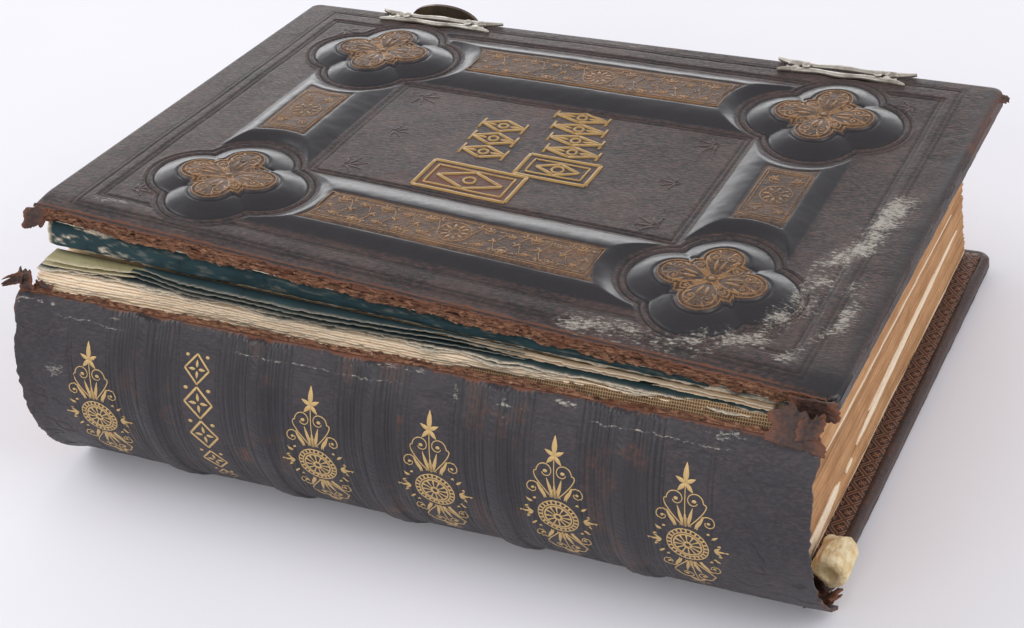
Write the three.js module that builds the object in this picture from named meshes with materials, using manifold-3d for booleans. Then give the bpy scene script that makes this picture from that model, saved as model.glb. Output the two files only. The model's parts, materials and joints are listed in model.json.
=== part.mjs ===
// A family Bible lying on its back board: embossed leather boards, a rounded hollow spine with
// raised bands, a sewn text block and a nickel clasp. The front board has torn loose at the head.
// Millimetres. X runs from head to tail, Y from spine to fore edge, Z up.

import * as THREE from 'three';
import { mergeVertices } from 'three/addons/utils/BufferGeometryUtils.js';
import Module from 'manifold-3d';

const wasm = await Module();
wasm.setup();

// ---------------------------------------------------------------- driving dimensions

const boardLength = 325;         // head to tail
const boardWidth = 222;          // spine edge to fore edge
const bookHeight = 96;           // table to the outer face of the closed front board
const gap = 0.3;                 // air left between pieces that touch

const coreThickness = 5.8;       // pasteboard
const leatherThickness = 1.2;
const liningThickness = 0.8;     // pastedowns and loose leaves
const boardStack = leatherThickness + coreThickness + liningThickness + 2 * gap;

const frontSlip = { x: 6.5, y: -9 };   // how far the loose front board has slid
const jointLift = 3;             // rise of its spine edge at the tail
const tornLift = 24;             // further rise of that edge at the head

const square = 10;               // board showing beyond the leaves at head and tail
const foreSquare = 4;            // board showing beyond the leaves at the fore edge
const blockLength = boardLength - 2 * square;
const foreEdge = boardWidth - foreSquare;
const foreHollow = 7;            // depth of the hollow fore edge
const sectionCount = 6;
const looseSection = 5.5;        // thickness of each section that has come loose at the top
// Spine edges of the leaves, and the share each takes of the front board's lift.
const rearLeaf = { edge: -2, share: 0 };
const lowerLoose = { edge: -11, share: 0.25 };
const upperLoose = { edge: -10, share: 0.4 };
const flyleaf = { edge: -3, share: 0.5 };
const endpaper = { edge: -6, share: 0.6 };

const spineCentre = { y: 23, z: 51 };  // axis of the rounded back
const blockRadius = 48;
const tapeThickness = 0.7;
const mullThickness = 0.7;
const hollow = 3.4;              // air between the mull and the card that stiffens the spine
const cardThickness = 1.2;
const bandThickness = 1.2;
const spineLeather = 1.6;
const spineFrom = THREE.MathUtils.degToRad(138);
const spineTo = THREE.MathUtils.degToRad(238);
const spineLength = 329;
const spineShift = 3;            // the spine has crept towards the tail with the front board
const bandCount = 5;
const bandPitch = 49.6;
const bandWidth = 9;
const bandShift = -2.3;
const tapeCount = 4;
const tapePitch = 70;
const tapeWidth = 22;
const mullShort = 15;            // how much shorter than the leaves the mull is
// Angles by which these strips stop short of the ends of the spine's arc.
const trims = { tape: 0.16, mull: 0.08, band: 0.04, endband: 0.1 };
const endband = { radius: 2, clear: 1 };
const tailRoll = { radius: 6.3, length: 16, y: 9 };

const bossInset = { x: 61.8, y: 47 };  // quatrefoil centre from the board's edges
const lobeRadius = 15.5;
const lobeReach = 19;            // lobe centre from the quatrefoil's centre
const reliefHeight = 3;
const longBar = { length: 111, width: 30, inset: 41 };
const shortBar = { length: 37, width: 28, inset: 62 };
const padBevel = 1.2;
const padSunk = 0.4;             // depth of a pad's foot in the leather

const claspX = 95;               // clasps either side of the middle of the fore edge
const claspPlate = { length: 62, width: 11.4, notch: 8, thickness: 1.6 };
const claspSlot = { length: 22, width: 2.4 };
const rivet = { radius: 1.1, head: 2, headHeight: 0.9, length: 4, spread: 15.5 };
const rivetDome = { radius: 1.6, height: 0.63 };  // where the head's shoulder turns over
const hingePlate = { length: 40, height: 6, thickness: 1.2 };
const knuckle = { radius: 2.1, bore: 1.3, armLength: 18, sideLength: 8 };
const hingePin = { radius: 0.9, head: 1.6, headLength: 0.8 };
const web = { trim: 0.5, sunk: 0.4, halfHeight: 1 };  // joins a knuckle to its plate
const arm = { thickness: 1.6, half: 13, neckTop: 4, hip: 8 };
const armHead = { half: 17, drop: 9, arch: 8, flareFrom: 18, flareTo: 6 };
const lip = { half: 8, reach: 5.5, drop: 8, tooth: 3, overlap: 0.5 };

const liningInset = 2;           // lining's spine edge, in from the front board's
const past = 5;                  // how far a cutting shape runs past what it cuts

// Facets: cells across a twisted board or leaf, steps round an arc, sides of a round part.
const boardCells = [12, 8];
const leafCells = [10, 6];
const arcSteps = 12;
const sectionSteps = 3;
const endbandPoints = 6;
const endbandSides = 6;
const lobeSteps = 6;
const rollSides = 16;
const rivetSides = 10;
const knuckleSides = 14;

// ---------------------------------------------------------------- materials

const metal = () => new THREE.MeshStandardMaterial({ color: 0xb3ab9d, roughness: 0.45, metalness: 0.9 });
const leather = () => new THREE.MeshStandardMaterial({ color: 0x4a3c38, roughness: 0.5, metalness: 0 });
const pasteboard = () => new THREE.MeshStandardMaterial({ color: 0x7a5238, roughness: 0.9, metalness: 0 });
const teal = () => new THREE.MeshStandardMaterial({ color: 0x284c57, roughness: 0.8, metalness: 0 });
const patterned = () => new THREE.MeshStandardMaterial({ color: 0x4a2c1c, roughness: 0.7, metalness: 0 });
const paper = () => new THREE.MeshStandardMaterial({ color: 0xa8805a, roughness: 0.9, metalness: 0 });
const cream = () => new THREE.MeshStandardMaterial({ color: 0xe6cda8, roughness: 0.9, metalness: 0 });
const olive = () => new THREE.MeshStandardMaterial({ color: 0xaaa57d, roughness: 0.9, metalness: 0 });
const cloth = () => new THREE.MeshStandardMaterial({ color: 0x785a42, roughness: 1, metalness: 0 });

// ---------------------------------------------------------------- helpers

function toSolid(geometry) {
  const bare = geometry.clone();
  bare.deleteAttribute('normal');
  bare.deleteAttribute('uv');
  const merged = mergeVertices(bare);
  return new wasm.Manifold(new wasm.Mesh({
    numProp: 3,
    vertProperties: merged.attributes.position.array,
    triVerts: new Uint32Array(merged.index.array),
  }));
}

function toGeometry(solid) {
  const { vertProperties, triVerts } = solid.getMesh();
  const geometry = new THREE.BufferGeometry();
  geometry.setAttribute('position', new THREE.BufferAttribute(vertProperties, 3));
  geometry.setIndex(new THREE.BufferAttribute(triVerts, 1));
  geometry.computeVertexNormals();
  return geometry;
}

function join(...geometries) {
  return toGeometry(geometries.map(toSolid).reduce((whole, next) => whole.add(next)));
}

function cut(geometry, ...tools) {
  return toGeometry(tools.map(toSolid).reduce((left, tool) => left.subtract(tool), toSolid(geometry)));
}

function named(name, geometry, material) {
  const mesh = new THREE.Mesh(geometry, material);
  mesh.name = name;
  return mesh;
}

function block(low, high, cellsX = 1, cellsY = 1) {
  const size = high.map((value, axis) => value - low[axis]);
  const geometry = new THREE.BoxGeometry(...size, cellsX, cellsY, 1);
  return geometry.translate(...high.map((value, axis) => (value + low[axis]) / 2));
}

// A shape drawn in Y and Z, pushed out along X about the middle of the book.
function alongX(shape, length, curveSegments) {
  const geometry = new THREE.ExtrudeGeometry(shape, { depth: length, bevelEnabled: false, curveSegments });
  geometry.translate(0, 0, -length / 2);
  const axes = [new THREE.Vector3(0, 1, 0), new THREE.Vector3(0, 0, 1), new THREE.Vector3(1, 0, 0)];
  return geometry.applyMatrix4(new THREE.Matrix4().makeBasis(...axes));
}

// Height of the twisted front board above its closed place.
function boardLift(x, y) {
  const fromTail = 0.5 - (x - frontSlip.x) / boardLength;
  const fromFore = 1 - (y - frontSlip.y) / boardWidth;
  return fromFore * (jointLift + tornLift * fromTail);
}

// Bends a geometry upwards with the front board, by a share of its lift.
function bend(geometry, share = 1) {
  const position = geometry.attributes.position;
  for (let i = 0; i < position.count; i += 1) {
    const lift = share * boardLift(position.getX(i), position.getY(i));
    position.setZ(i, position.getZ(i) + lift);
  }
  return geometry;
}

// ---------------------------------------------------------------- text block

const backAt = (z) => spineCentre.y - Math.sqrt(blockRadius ** 2 - (z - spineCentre.z) ** 2);

function foreAt(z) {
  const half = bookHeight / 2 - boardStack;
  return foreEdge - foreHollow * (1 - ((z - bookHeight / 2) / half) ** 2);
}

function sectionGeometry(low, high) {
  const share = (i) => i / sectionSteps;
  const levels = Array.from({ length: sectionSteps + 1 }, (_, i) => low + share(i) * (high - low));
  const fore = levels.map((z) => new THREE.Vector2(foreAt(z), z));
  const back = levels.map((z) => new THREE.Vector2(backAt(z), z)).reverse();
  return alongX(new THREE.Shape([...fore, ...back]), blockLength);
}

// A leaf or a loose section: a thin block bent up by its share of the board's lift.
function bentLeaf(spineEdge, low, high, share) {
  const half = blockLength / 2;
  const cells = share > 0 ? leafCells : [1, 1];
  return bend(block([-half, spineEdge, low], [half, foreEdge - 1, high], ...cells), share);
}

function makeTextBlock() {
  const group = new THREE.Group();
  let level = boardStack + gap;
  const add = (name, thickness, leaf, material) => {
    group.add(named(name, bentLeaf(leaf.edge, level, level + thickness, leaf.share), material));
    level += thickness + gap;
  };
  add('back_free_endpaper', liningThickness, rearLeaf, patterned());
  add('rear_flyleaf', liningThickness, rearLeaf, cream());

  const above = 2 * (looseSection + gap) + 2 * (liningThickness + gap) + gap;
  const top = bookHeight - boardStack - above;
  const pitch = (top - level) / sectionCount;
  for (let i = 0; i < sectionCount; i += 1) {
    group.add(named(`section_${i + 1}`, sectionGeometry(level, level + pitch - gap), paper()));
    level += pitch;
  }
  add('loose_section_1', looseSection, lowerLoose, paper());
  add('loose_section_2', looseSection, upperLoose, cream());
  add('front_flyleaf', liningThickness, flyleaf, olive());
  add('front_free_endpaper', liningThickness, endpaper, teal());
  return group;
}

// ---------------------------------------------------------------- spine

// A strip of a tube about the spine's axis.
function spineStrip(inner, thickness, length, trim = 0) {
  const from = spineFrom + trim;
  const to = spineTo - trim;
  const shape = new THREE.Shape();
  shape.absarc(spineCentre.y, spineCentre.z, inner + thickness, from, to, false);
  shape.absarc(spineCentre.y, spineCentre.z, inner, to, from, true);
  return alongX(shape, length, arcSteps);
}

function makeEndband() {
  const reach = blockRadius - endband.radius - endband.clear;
  const from = spineFrom + trims.endband;
  const to = spineTo - trims.endband;
  const path = new THREE.CatmullRomCurve3(Array.from({ length: endbandPoints + 1 }, (_, i) => {
    const angle = THREE.MathUtils.lerp(from, to, i / endbandPoints);
    const y = spineCentre.y + reach * Math.cos(angle);
    return new THREE.Vector3(0, y, spineCentre.z + reach * Math.sin(angle));
  }));
  const section = new THREE.Shape().absarc(0, 0, endband.radius, 0, 2 * Math.PI);
  const geometry = new THREE.ExtrudeGeometry(section, {
    steps: arcSteps,
    extrudePath: path,
    curveSegments: endbandSides,
  });
  const mesh = named('head_endband', geometry, cream());
  mesh.position.x = -blockLength / 2 - endband.radius - gap;
  return mesh;
}

// The tail lining has rolled out of the spine and lies on the back board.
function makeTailRoll() {
  const { radius, length, y } = tailRoll;
  const geometry = new THREE.CylinderGeometry(radius, radius, length, rollSides);
  const mesh = named('tail_endband', geometry, cream());
  mesh.position.set(blockLength / 2 + radius + gap, y, boardStack + radius + 2 * gap);
  return mesh;
}

function makeSpine() {
  const group = new THREE.Group();
  const tapeInner = blockRadius + gap;
  const mullInner = tapeInner + tapeThickness + gap;
  const cardInner = mullInner + mullThickness + hollow;
  const bandInner = cardInner + cardThickness + gap;
  const leatherInner = bandInner + bandThickness + gap;
  for (let i = 0; i < tapeCount; i += 1) {
    const tape = spineStrip(tapeInner, tapeThickness, tapeWidth, trims.tape);
    const mesh = named(`sewing_tape_${i + 1}`, tape, cream());
    mesh.position.x = (i - (tapeCount - 1) / 2) * tapePitch;
    group.add(mesh);
  }
  const mull = spineStrip(mullInner, mullThickness, blockLength - mullShort, trims.mull);
  group.add(named('mull_lining', mull, cloth()));
  group.add(named('spine_card', spineStrip(cardInner, cardThickness, blockLength), pasteboard()));
  for (let i = 0; i < bandCount; i += 1) {
    const band = spineStrip(bandInner, bandThickness, bandWidth, trims.band);
    const mesh = named(`raised_band_${i + 1}`, band, pasteboard());
    mesh.position.x = bandShift + (i - (bandCount - 1) / 2) * bandPitch;
    group.add(mesh);
  }
  const cover = named('spine_leather', spineStrip(leatherInner, spineLeather, spineLength), leather());
  cover.position.x = spineShift;
  group.add(cover, makeEndband(), makeTailRoll());
  return group;
}

// ---------------------------------------------------------------- boards

function quatrefoil() {
  const meet = (lobeReach + Math.sqrt(2 * lobeRadius ** 2 - lobeReach ** 2)) / 2;
  const sweep = Math.atan2(meet, meet - lobeReach);
  const shape = new THREE.Shape();
  for (let quarter = 0; quarter < 4; quarter += 1) {
    const turn = (quarter * Math.PI) / 2;
    const x = lobeReach * Math.cos(turn);
    const y = lobeReach * Math.sin(turn);
    shape.absarc(x, y, lobeRadius, turn - sweep, turn + sweep, false);
  }
  return shape;
}

function bar(length, width) {
  const corners = [[-1, -1], [1, -1], [1, 1], [-1, 1]];
  return new THREE.Shape(corners.map(([x, y]) => new THREE.Vector2((x * length) / 2, (y * width) / 2)));
}

// A raised pad whose foot sinks a little into the leather at height z.
function pad(shape, x, y, z) {
  const geometry = new THREE.ExtrudeGeometry(shape, {
    depth: reliefHeight + padSunk - 2 * padBevel,
    bevelThickness: padBevel,
    bevelSize: padBevel,
    bevelOffset: -padBevel,
    bevelSegments: 1,
    curveSegments: lobeSteps,
  });
  return geometry.translate(x, y, z - padSunk + padBevel);
}

function coverPads(z) {
  const centre = boardWidth / 2 + frontSlip.y;
  const pads = [];
  for (const end of [-1, 1]) {
    const bossX = frontSlip.x + end * (boardLength / 2 - bossInset.x);
    const shortX = frontSlip.x + end * (boardLength / 2 - shortBar.inset);
    pads.push(pad(bar(shortBar.width, shortBar.length), shortX, centre, z));
    for (const side of [-1, 1]) {
      pads.push(pad(quatrefoil(), bossX, centre + side * (boardWidth / 2 - bossInset.y), z));
    }
  }
  for (const side of [-1, 1]) {
    const y = centre + side * (boardWidth / 2 - longBar.inset);
    pads.push(pad(bar(longBar.length, longBar.width), frontSlip.x, y, z));
  }
  return pads;
}

// Places of the rivets through a clasp plate, along X from the clasp's middle.
const rivetOffsets = [-rivet.spread, rivet.spread];

// A drill standing on the plate at (x, y), clear of the rivet that fills it.
function rivetDrill(x, y, z) {
  const radius = rivet.radius + gap;
  const drill = new THREE.CylinderGeometry(radius, radius, 4 * rivet.length, rivetSides);
  return drill.rotateX(Math.PI / 2).translate(x, y, z);
}

function makeRivet(name) {
  const profile = [
    new THREE.Vector2(0, -rivet.length),
    new THREE.Vector2(rivet.radius, -rivet.length),
    new THREE.Vector2(rivet.radius, 0),
    new THREE.Vector2(rivet.head, 0),
    new THREE.Vector2(rivetDome.radius, rivetDome.height),
    new THREE.Vector2(0, rivet.headHeight),
  ];
  return named(name, new THREE.LatheGeometry(profile, rivetSides), metal());
}

function claspPlateShape() {
  const { length, width, notch } = claspPlate;
  const points = [[-1, -1, 0], [1, -1, 0], [1, 0, notch], [1, 1, 0], [-1, 1, 0], [-1, 0, notch]];
  return new THREE.Shape(points.map(([endX, endY, inset]) => (
    new THREE.Vector2(endX * (length / 2 - inset), (endY * width) / 2)
  )));
}

function makeFrontBoard() {
  const group = new THREE.Group();
  const left = frontSlip.x - boardLength / 2;
  const right = frontSlip.x + boardLength / 2;
  const spineEdge = frontSlip.y;
  const fore = frontSlip.y + boardWidth;
  const wrap = leatherThickness + gap;
  const top = bookHeight;
  const coreTop = top - wrap;
  const coreLow = coreTop - coreThickness;
  const plateY = fore - claspPlate.width / 2 - gap;
  const plateZ = top + gap;
  const endNames = { [-1]: 'head', [1]: 'tail' };
  const drills = [];

  for (const end of [-1, 1]) {
    const centre = frontSlip.x + end * claspX;
    const holes = rivetOffsets.map((offset) => rivetDrill(centre + offset, plateY, top));
    const slot = [claspSlot.length / 2, claspSlot.width / 2];
    const outline = new THREE.ExtrudeGeometry(claspPlateShape(), {
      depth: claspPlate.thickness,
      bevelEnabled: false,
    }).translate(centre, plateY, plateZ);
    const slotLow = [centre - slot[0], plateY - slot[1], top];
    const opening = block(slotLow, [centre + slot[0], plateY + slot[1], top + past]);
    const plate = bend(cut(outline, opening, ...holes));
    group.add(named(`clasp_plate_${endNames[end]}`, plate, metal()));
    rivetOffsets.forEach((offset, i) => {
      const pin = makeRivet(`clasp_rivet_${endNames[end]}_${i + 1}`);
      const x = centre + offset;
      pin.rotation.x = Math.PI / 2;
      pin.position.set(x, plateY, plateZ + claspPlate.thickness + gap + boardLift(x, plateY));
      group.add(pin);
    });
    drills.push(...holes.map((hole) => bend(hole)));
  }

  const skin = bend(block([left, spineEdge, coreLow], [right, fore, top], ...boardCells));
  const hollowLow = [left + wrap, spineEdge - past, coreLow - past];
  const inside = bend(block(hollowLow, [right - wrap, fore - wrap, coreTop + gap], ...boardCells));
  const raised = coverPads(top).map((geometry) => bend(geometry));
  const relief = raised.reduce((whole, next) => join(whole, next), cut(skin, inside));
  group.add(named('front_cover_leather', cut(relief, ...drills), leather()));

  const coreEdge = wrap + gap;
  const coreHigh = [right - coreEdge, fore - coreEdge, coreTop];
  const core = bend(block([left + coreEdge, spineEdge, coreLow], coreHigh, ...boardCells));
  group.add(named('front_board', cut(core, ...drills), pasteboard()));

  const liningTop = coreLow - gap;
  const lining = block(
    [left + coreEdge, spineEdge + liningInset, liningTop - liningThickness],
    [right - coreEdge, fore - coreEdge, liningTop],
    ...boardCells,
  );
  group.add(named('front_pastedown', bend(lining), teal()));
  return group;
}

function barrelAlongX(radius, length) {
  const barrel = new THREE.CylinderGeometry(radius, radius, length, knuckleSides);
  return barrel.rotateZ(Math.PI / 2);
}

function makeHingePlate(name, centre, hingeY, hingeZ) {
  const halfLength = hingePlate.length / 2;
  const face = boardWidth + gap;
  const low = [centre - halfLength, face, hingeZ - hingePlate.height / 2];
  const high = [centre + halfLength, face + hingePlate.thickness, hingeZ + hingePlate.height / 2];
  const start = knuckle.armLength / 2 + gap;
  const sides = [-1, 1].map((side) => {
    const x = centre + side * (start + knuckle.sideLength / 2);
    return barrelAlongX(knuckle.radius, knuckle.sideLength).translate(x, hingeY, hingeZ);
  });
  const webs = [-1, 1].map((side) => {
    const x = centre + side * (start + knuckle.sideLength / 2);
    const half = knuckle.sideLength / 2 - web.trim;
    const webLow = [x - half, face + web.sunk, hingeZ - web.halfHeight];
    return block(webLow, [x + half, hingeY, hingeZ + web.halfHeight]);
  });
  const bore = barrelAlongX(knuckle.bore, 2 * hingePlate.length).translate(centre, hingeY, hingeZ);
  return named(name, cut(join(block(low, high), ...sides, ...webs), bore), metal());
}

function makeHingePin(name) {
  const half = knuckle.armLength / 2 + gap + knuckle.sideLength + gap;
  const profile = [
    new THREE.Vector2(0, -half - hingePin.headLength),
    new THREE.Vector2(hingePin.head, -half - hingePin.headLength),
    new THREE.Vector2(hingePin.head, -half),
    new THREE.Vector2(hingePin.radius, -half),
    new THREE.Vector2(hingePin.radius, half),
    new THREE.Vector2(hingePin.head, half),
    new THREE.Vector2(hingePin.head, half + hingePin.headLength),
    new THREE.Vector2(0, half + hingePin.headLength),
  ];
  const mesh = named(name, new THREE.LatheGeometry(profile, rivetSides), metal());
  mesh.rotation.z = Math.PI / 2;
  return mesh;
}

const hingeY = boardWidth + 2 * gap + hingePlate.thickness + knuckle.radius;
const hingeZ = boardStack / 2;

function makeBackBoard() {
  const group = new THREE.Group();
  const half = boardLength / 2;
  const wrap = leatherThickness + gap;
  const coreTop = wrap + coreThickness;
  const coreEdge = wrap + gap;

  const tray = block([-half, 0, 0], [half, boardWidth, coreTop]);
  const insideHigh = [half - wrap, boardWidth - wrap, coreTop + past];
  const inside = block([wrap - half, wrap, leatherThickness], insideHigh);
  group.add(named('back_cover_leather', cut(tray, inside), leather()));
  const coreHigh = [half - coreEdge, boardWidth - coreEdge, coreTop];
  group.add(named('back_board', block([coreEdge - half, coreEdge, wrap], coreHigh), pasteboard()));
  const liningLow = [coreEdge - half, coreEdge, coreTop + gap];
  const liningHigh = [half - coreEdge, boardWidth - coreEdge, coreTop + gap + liningThickness];
  group.add(named('back_pastedown', block(liningLow, liningHigh), patterned()));

  for (const [end, place] of [[-1, 'head'], [1, 'tail']]) {
    group.add(makeHingePlate(`hinge_plate_${place}`, end * claspX, hingeY, hingeZ));
    const pin = makeHingePin(`hinge_pin_${place}`);
    pin.position.set(end * claspX, hingeY, hingeZ);
    group.add(pin);
  }
  return group;
}

// ---------------------------------------------------------------- clasp arm

function armOutline() {
  const neck = knuckle.armLength / 2;
  const shoulder = bookHeight - armHead.drop;
  const side = [
    [neck, hingeZ],
    [neck, hingeZ + arm.neckTop],
    [arm.half, hingeZ + arm.hip],
    [arm.half, shoulder - armHead.flareFrom],
    [armHead.half, shoulder - armHead.flareTo],
  ];
  const shape = new THREE.Shape();
  shape.moveTo(-neck, hingeZ);
  side.forEach(([x, z]) => shape.lineTo(x, z));
  shape.lineTo(armHead.half, shoulder);
  shape.absellipse(0, shoulder, armHead.half, armHead.arch, 0, Math.PI, false);
  side.slice(1).reverse().forEach(([x, z]) => shape.lineTo(-x, z));
  return shape;
}

function makeClaspArm() {
  const strap = new THREE.ExtrudeGeometry(armOutline(), {
    depth: arm.thickness,
    bevelEnabled: false,
    curveSegments: arcSteps,
  });
  strap.rotateX(Math.PI / 2).translate(0, arm.thickness / 2, 0);
  const lipZ = bookHeight - lip.drop;
  const shelf = block([-lip.half, -lip.reach, lipZ], [lip.half, 0, lipZ + arm.thickness]);
  const toothLow = [-lip.half, -lip.reach, lipZ - lip.tooth];
  const tooth = block(toothLow, [lip.half, arm.thickness - lip.reach, lipZ + lip.overlap]);
  const barrel = barrelAlongX(knuckle.radius, knuckle.armLength).translate(0, 0, hingeZ);
  const bore = barrelAlongX(knuckle.bore, 2 * knuckle.armLength).translate(0, 0, hingeZ);
  const mesh = named('clasp_arm_head', cut(join(strap, shelf, tooth, barrel), bore), metal());
  mesh.position.set(-claspX, hingeY, 0);
  return mesh;
}

// ---------------------------------------------------------------- the book

const book = new THREE.Group();
book.add(makeTextBlock(), makeSpine(), makeFrontBoard(), makeBackBoard(), makeClaspArm());

// The origin is the middle of the underside of the whole book's box.
const bounds = new THREE.Box3().setFromObject(book, true);
const middle = bounds.getCenter(new THREE.Vector3());
book.position.set(-middle.x, -middle.y, -bounds.min.z);

export default book;
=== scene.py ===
"""The looks of an old family Bible lying on its back board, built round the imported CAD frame.

Lengths in the functions below are millimetres, and turn into metres as each mesh is made.
X runs from head to tail, Y from spine to fore edge, and Z is up.
"""

import json
import math

import bpy
import numpy as np
from mathutils import Matrix, Vector

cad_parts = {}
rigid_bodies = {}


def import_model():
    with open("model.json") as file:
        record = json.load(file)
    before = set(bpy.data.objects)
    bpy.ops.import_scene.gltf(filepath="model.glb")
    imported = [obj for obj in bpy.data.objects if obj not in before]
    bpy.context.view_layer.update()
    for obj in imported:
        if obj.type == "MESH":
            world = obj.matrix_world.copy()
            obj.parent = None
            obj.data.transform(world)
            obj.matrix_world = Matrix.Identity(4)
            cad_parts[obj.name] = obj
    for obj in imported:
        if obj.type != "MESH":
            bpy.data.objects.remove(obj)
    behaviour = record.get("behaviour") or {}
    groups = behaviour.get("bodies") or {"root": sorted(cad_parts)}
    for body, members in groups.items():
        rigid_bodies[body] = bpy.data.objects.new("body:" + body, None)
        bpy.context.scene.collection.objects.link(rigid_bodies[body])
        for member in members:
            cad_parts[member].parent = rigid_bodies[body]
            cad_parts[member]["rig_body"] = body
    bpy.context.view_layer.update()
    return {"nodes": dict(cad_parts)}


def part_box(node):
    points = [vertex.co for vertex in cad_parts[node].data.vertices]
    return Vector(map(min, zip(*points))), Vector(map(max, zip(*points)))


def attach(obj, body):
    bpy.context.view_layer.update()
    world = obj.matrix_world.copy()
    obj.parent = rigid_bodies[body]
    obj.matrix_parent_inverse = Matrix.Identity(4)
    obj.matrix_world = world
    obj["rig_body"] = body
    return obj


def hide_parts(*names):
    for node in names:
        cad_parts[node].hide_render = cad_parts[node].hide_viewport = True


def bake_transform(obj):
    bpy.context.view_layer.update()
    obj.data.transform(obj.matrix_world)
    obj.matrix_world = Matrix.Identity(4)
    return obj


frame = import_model()

MM = 0.001


# ---------------------------------------------------------------- numbers and noise


def smooth(t, low=0.0, high=1.0):
    """A soft step from 0 at low to 1 at high."""
    t = np.clip((t - low) / (high - low), 0, 1)
    return t * t * (3 - 2 * t)


def hump(t, width):
    """A soft hump, 1 at t = 0 and 0 past the width."""
    return 1 - smooth(np.abs(t), 0, width)


def blend(a, b, t):
    """The value at a share t of the way from a to b."""
    return a + (b - a) * t


def polar(radius, degrees):
    """The place at a distance and a direction in degrees."""
    turn = np.radians(degrees)
    return radius * np.cos(turn), radius * np.sin(turn)


def noise(x, y, seed, octaves=3):
    """Smooth value noise, about -1 to 1, at places x, y in cells, with finer octaves on top."""
    size = 128
    table = np.random.default_rng(seed).uniform(-1, 1, (size, size))
    total, weight, whole = 0, 1.0, 0
    for _ in range(octaves):
        i, j = np.floor(x).astype(int), np.floor(y).astype(int)
        u, v = smooth(x - i), smooth(y - j)
        near = blend(table[i % size, j % size], table[(i + 1) % size, j % size], u)
        far = blend(table[i % size, (j + 1) % size], table[(i + 1) % size, (j + 1) % size], u)
        total = total + weight * blend(near, far, v)
        whole += weight
        x, y, weight = 2.03 * x + 17.1, 2.03 * y + 31.7, weight * 0.5
    return total / whole


def noise_along(x, size, seed, octaves=3):
    """Noise that changes along one direction only, with features of that size."""
    return noise(x / size, 0 * x, seed, octaves)


def noise_over(x, y, size, seed, octaves=3):
    """Noise over two directions, with features of that size."""
    return noise(x / size, y / size, seed, octaves)


# ---------------------------------------------------------------- meshes


def make_mesh(name, points, faces, fields=None):
    """A mesh object from points in millimetres, with one point attribute for each field."""
    mesh = bpy.data.meshes.new(name)
    mesh.from_pydata((np.asarray(points) * MM).tolist(), [], faces)
    mesh.polygons.foreach_set("use_smooth", np.ones(len(mesh.polygons), bool))
    for key, values in (fields or {}).items():
        attribute = mesh.attributes.new(key, "FLOAT", "POINT")
        attribute.data.foreach_set("value", np.asarray(values, np.float32).ravel())
    mesh.update()
    piece = bpy.data.objects.new(name, mesh)
    bpy.context.scene.collection.objects.link(piece)
    return piece


def grid_faces(rows, columns, start=0, flip=False):
    """The four-sided faces of a grid of points."""
    i, j = np.meshgrid(np.arange(rows - 1), np.arange(columns - 1), indexing="ij")
    corner = start + i * columns + j
    faces = np.stack([corner, corner + columns, corner + columns + 1, corner + 1], -1).reshape(-1, 4)
    return faces[:, ::-1] if flip else faces


def rim(rows, columns):
    """The indices round the edge of a grid, anticlockwise seen from outside."""
    index = np.arange(rows * columns).reshape(rows, columns)
    return np.concatenate([index[:, 0], index[-1, 1:], index[-2::-1, -1], index[0, -2:0:-1]])


def sheet_faces(rows, columns):
    """The faces of a closed sheet whose outer grid of points comes first and inner grid second."""
    count = rows * columns
    edge = rim(rows, columns)
    following = np.roll(edge, -1)
    sides = np.stack([edge, edge + count, following + count, following], -1)
    return np.concatenate([grid_faces(rows, columns), grid_faces(rows, columns, count, True), sides])


def slab(name, outer, inner, fields=None):
    """A closed sheet between two grids of points. The outer face looks along du x dv."""
    faces = sheet_faces(*outer.shape[:2])
    points = np.concatenate([outer.reshape(-1, 3), inner.reshape(-1, 3)])
    doubled = {k: np.concatenate([np.ravel(v), np.ravel(v)]) for k, v in (fields or {}).items()}
    return make_mesh(name, points, faces.tolist(), doubled)


def loft(name, rings):
    """A closed body through rings of points, each anticlockwise seen from the last ring's end."""
    rings = np.asarray(rings)
    levels, count = rings.shape[:2]
    i, j = np.meshgrid(np.arange(levels - 1), np.arange(count), indexing="ij")
    a, b = i * count + j, i * count + (j + 1) % count
    faces = np.stack([a, b, b + count, a + count], -1).reshape(-1, 4).tolist()
    faces += [list(range(count))[::-1], [(levels - 1) * count + k for k in range(count)]]
    return make_mesh(name, rings.reshape(-1, 3), faces)


def stacked(x, y, z):
    """Points from their three coordinates, spread to one shape."""
    return np.stack(np.broadcast_arrays(x, y, z), -1).astype(float)


def dress(piece, material, body, stands_for=None):
    """Gives a piece its material and the body it rides, and hides the CAD node it stands for."""
    piece.data.materials.append(material)
    if stands_for:
        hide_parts(stands_for)
    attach(piece, body)


# ---------------------------------------------------------------- what the frame says


def span(node):
    """The two corners of a frame node's box, in millimetres."""
    low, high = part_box(node)
    return np.array(low) / MM, np.array(high) / MM


def vertices(node):
    """The corners of a frame node's mesh, in millimetres."""
    mesh = frame["nodes"][node].data
    points = np.empty(len(mesh.vertices) * 3)
    mesh.vertices.foreach_get("co", points)
    return points.reshape(-1, 3) / MM


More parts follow.
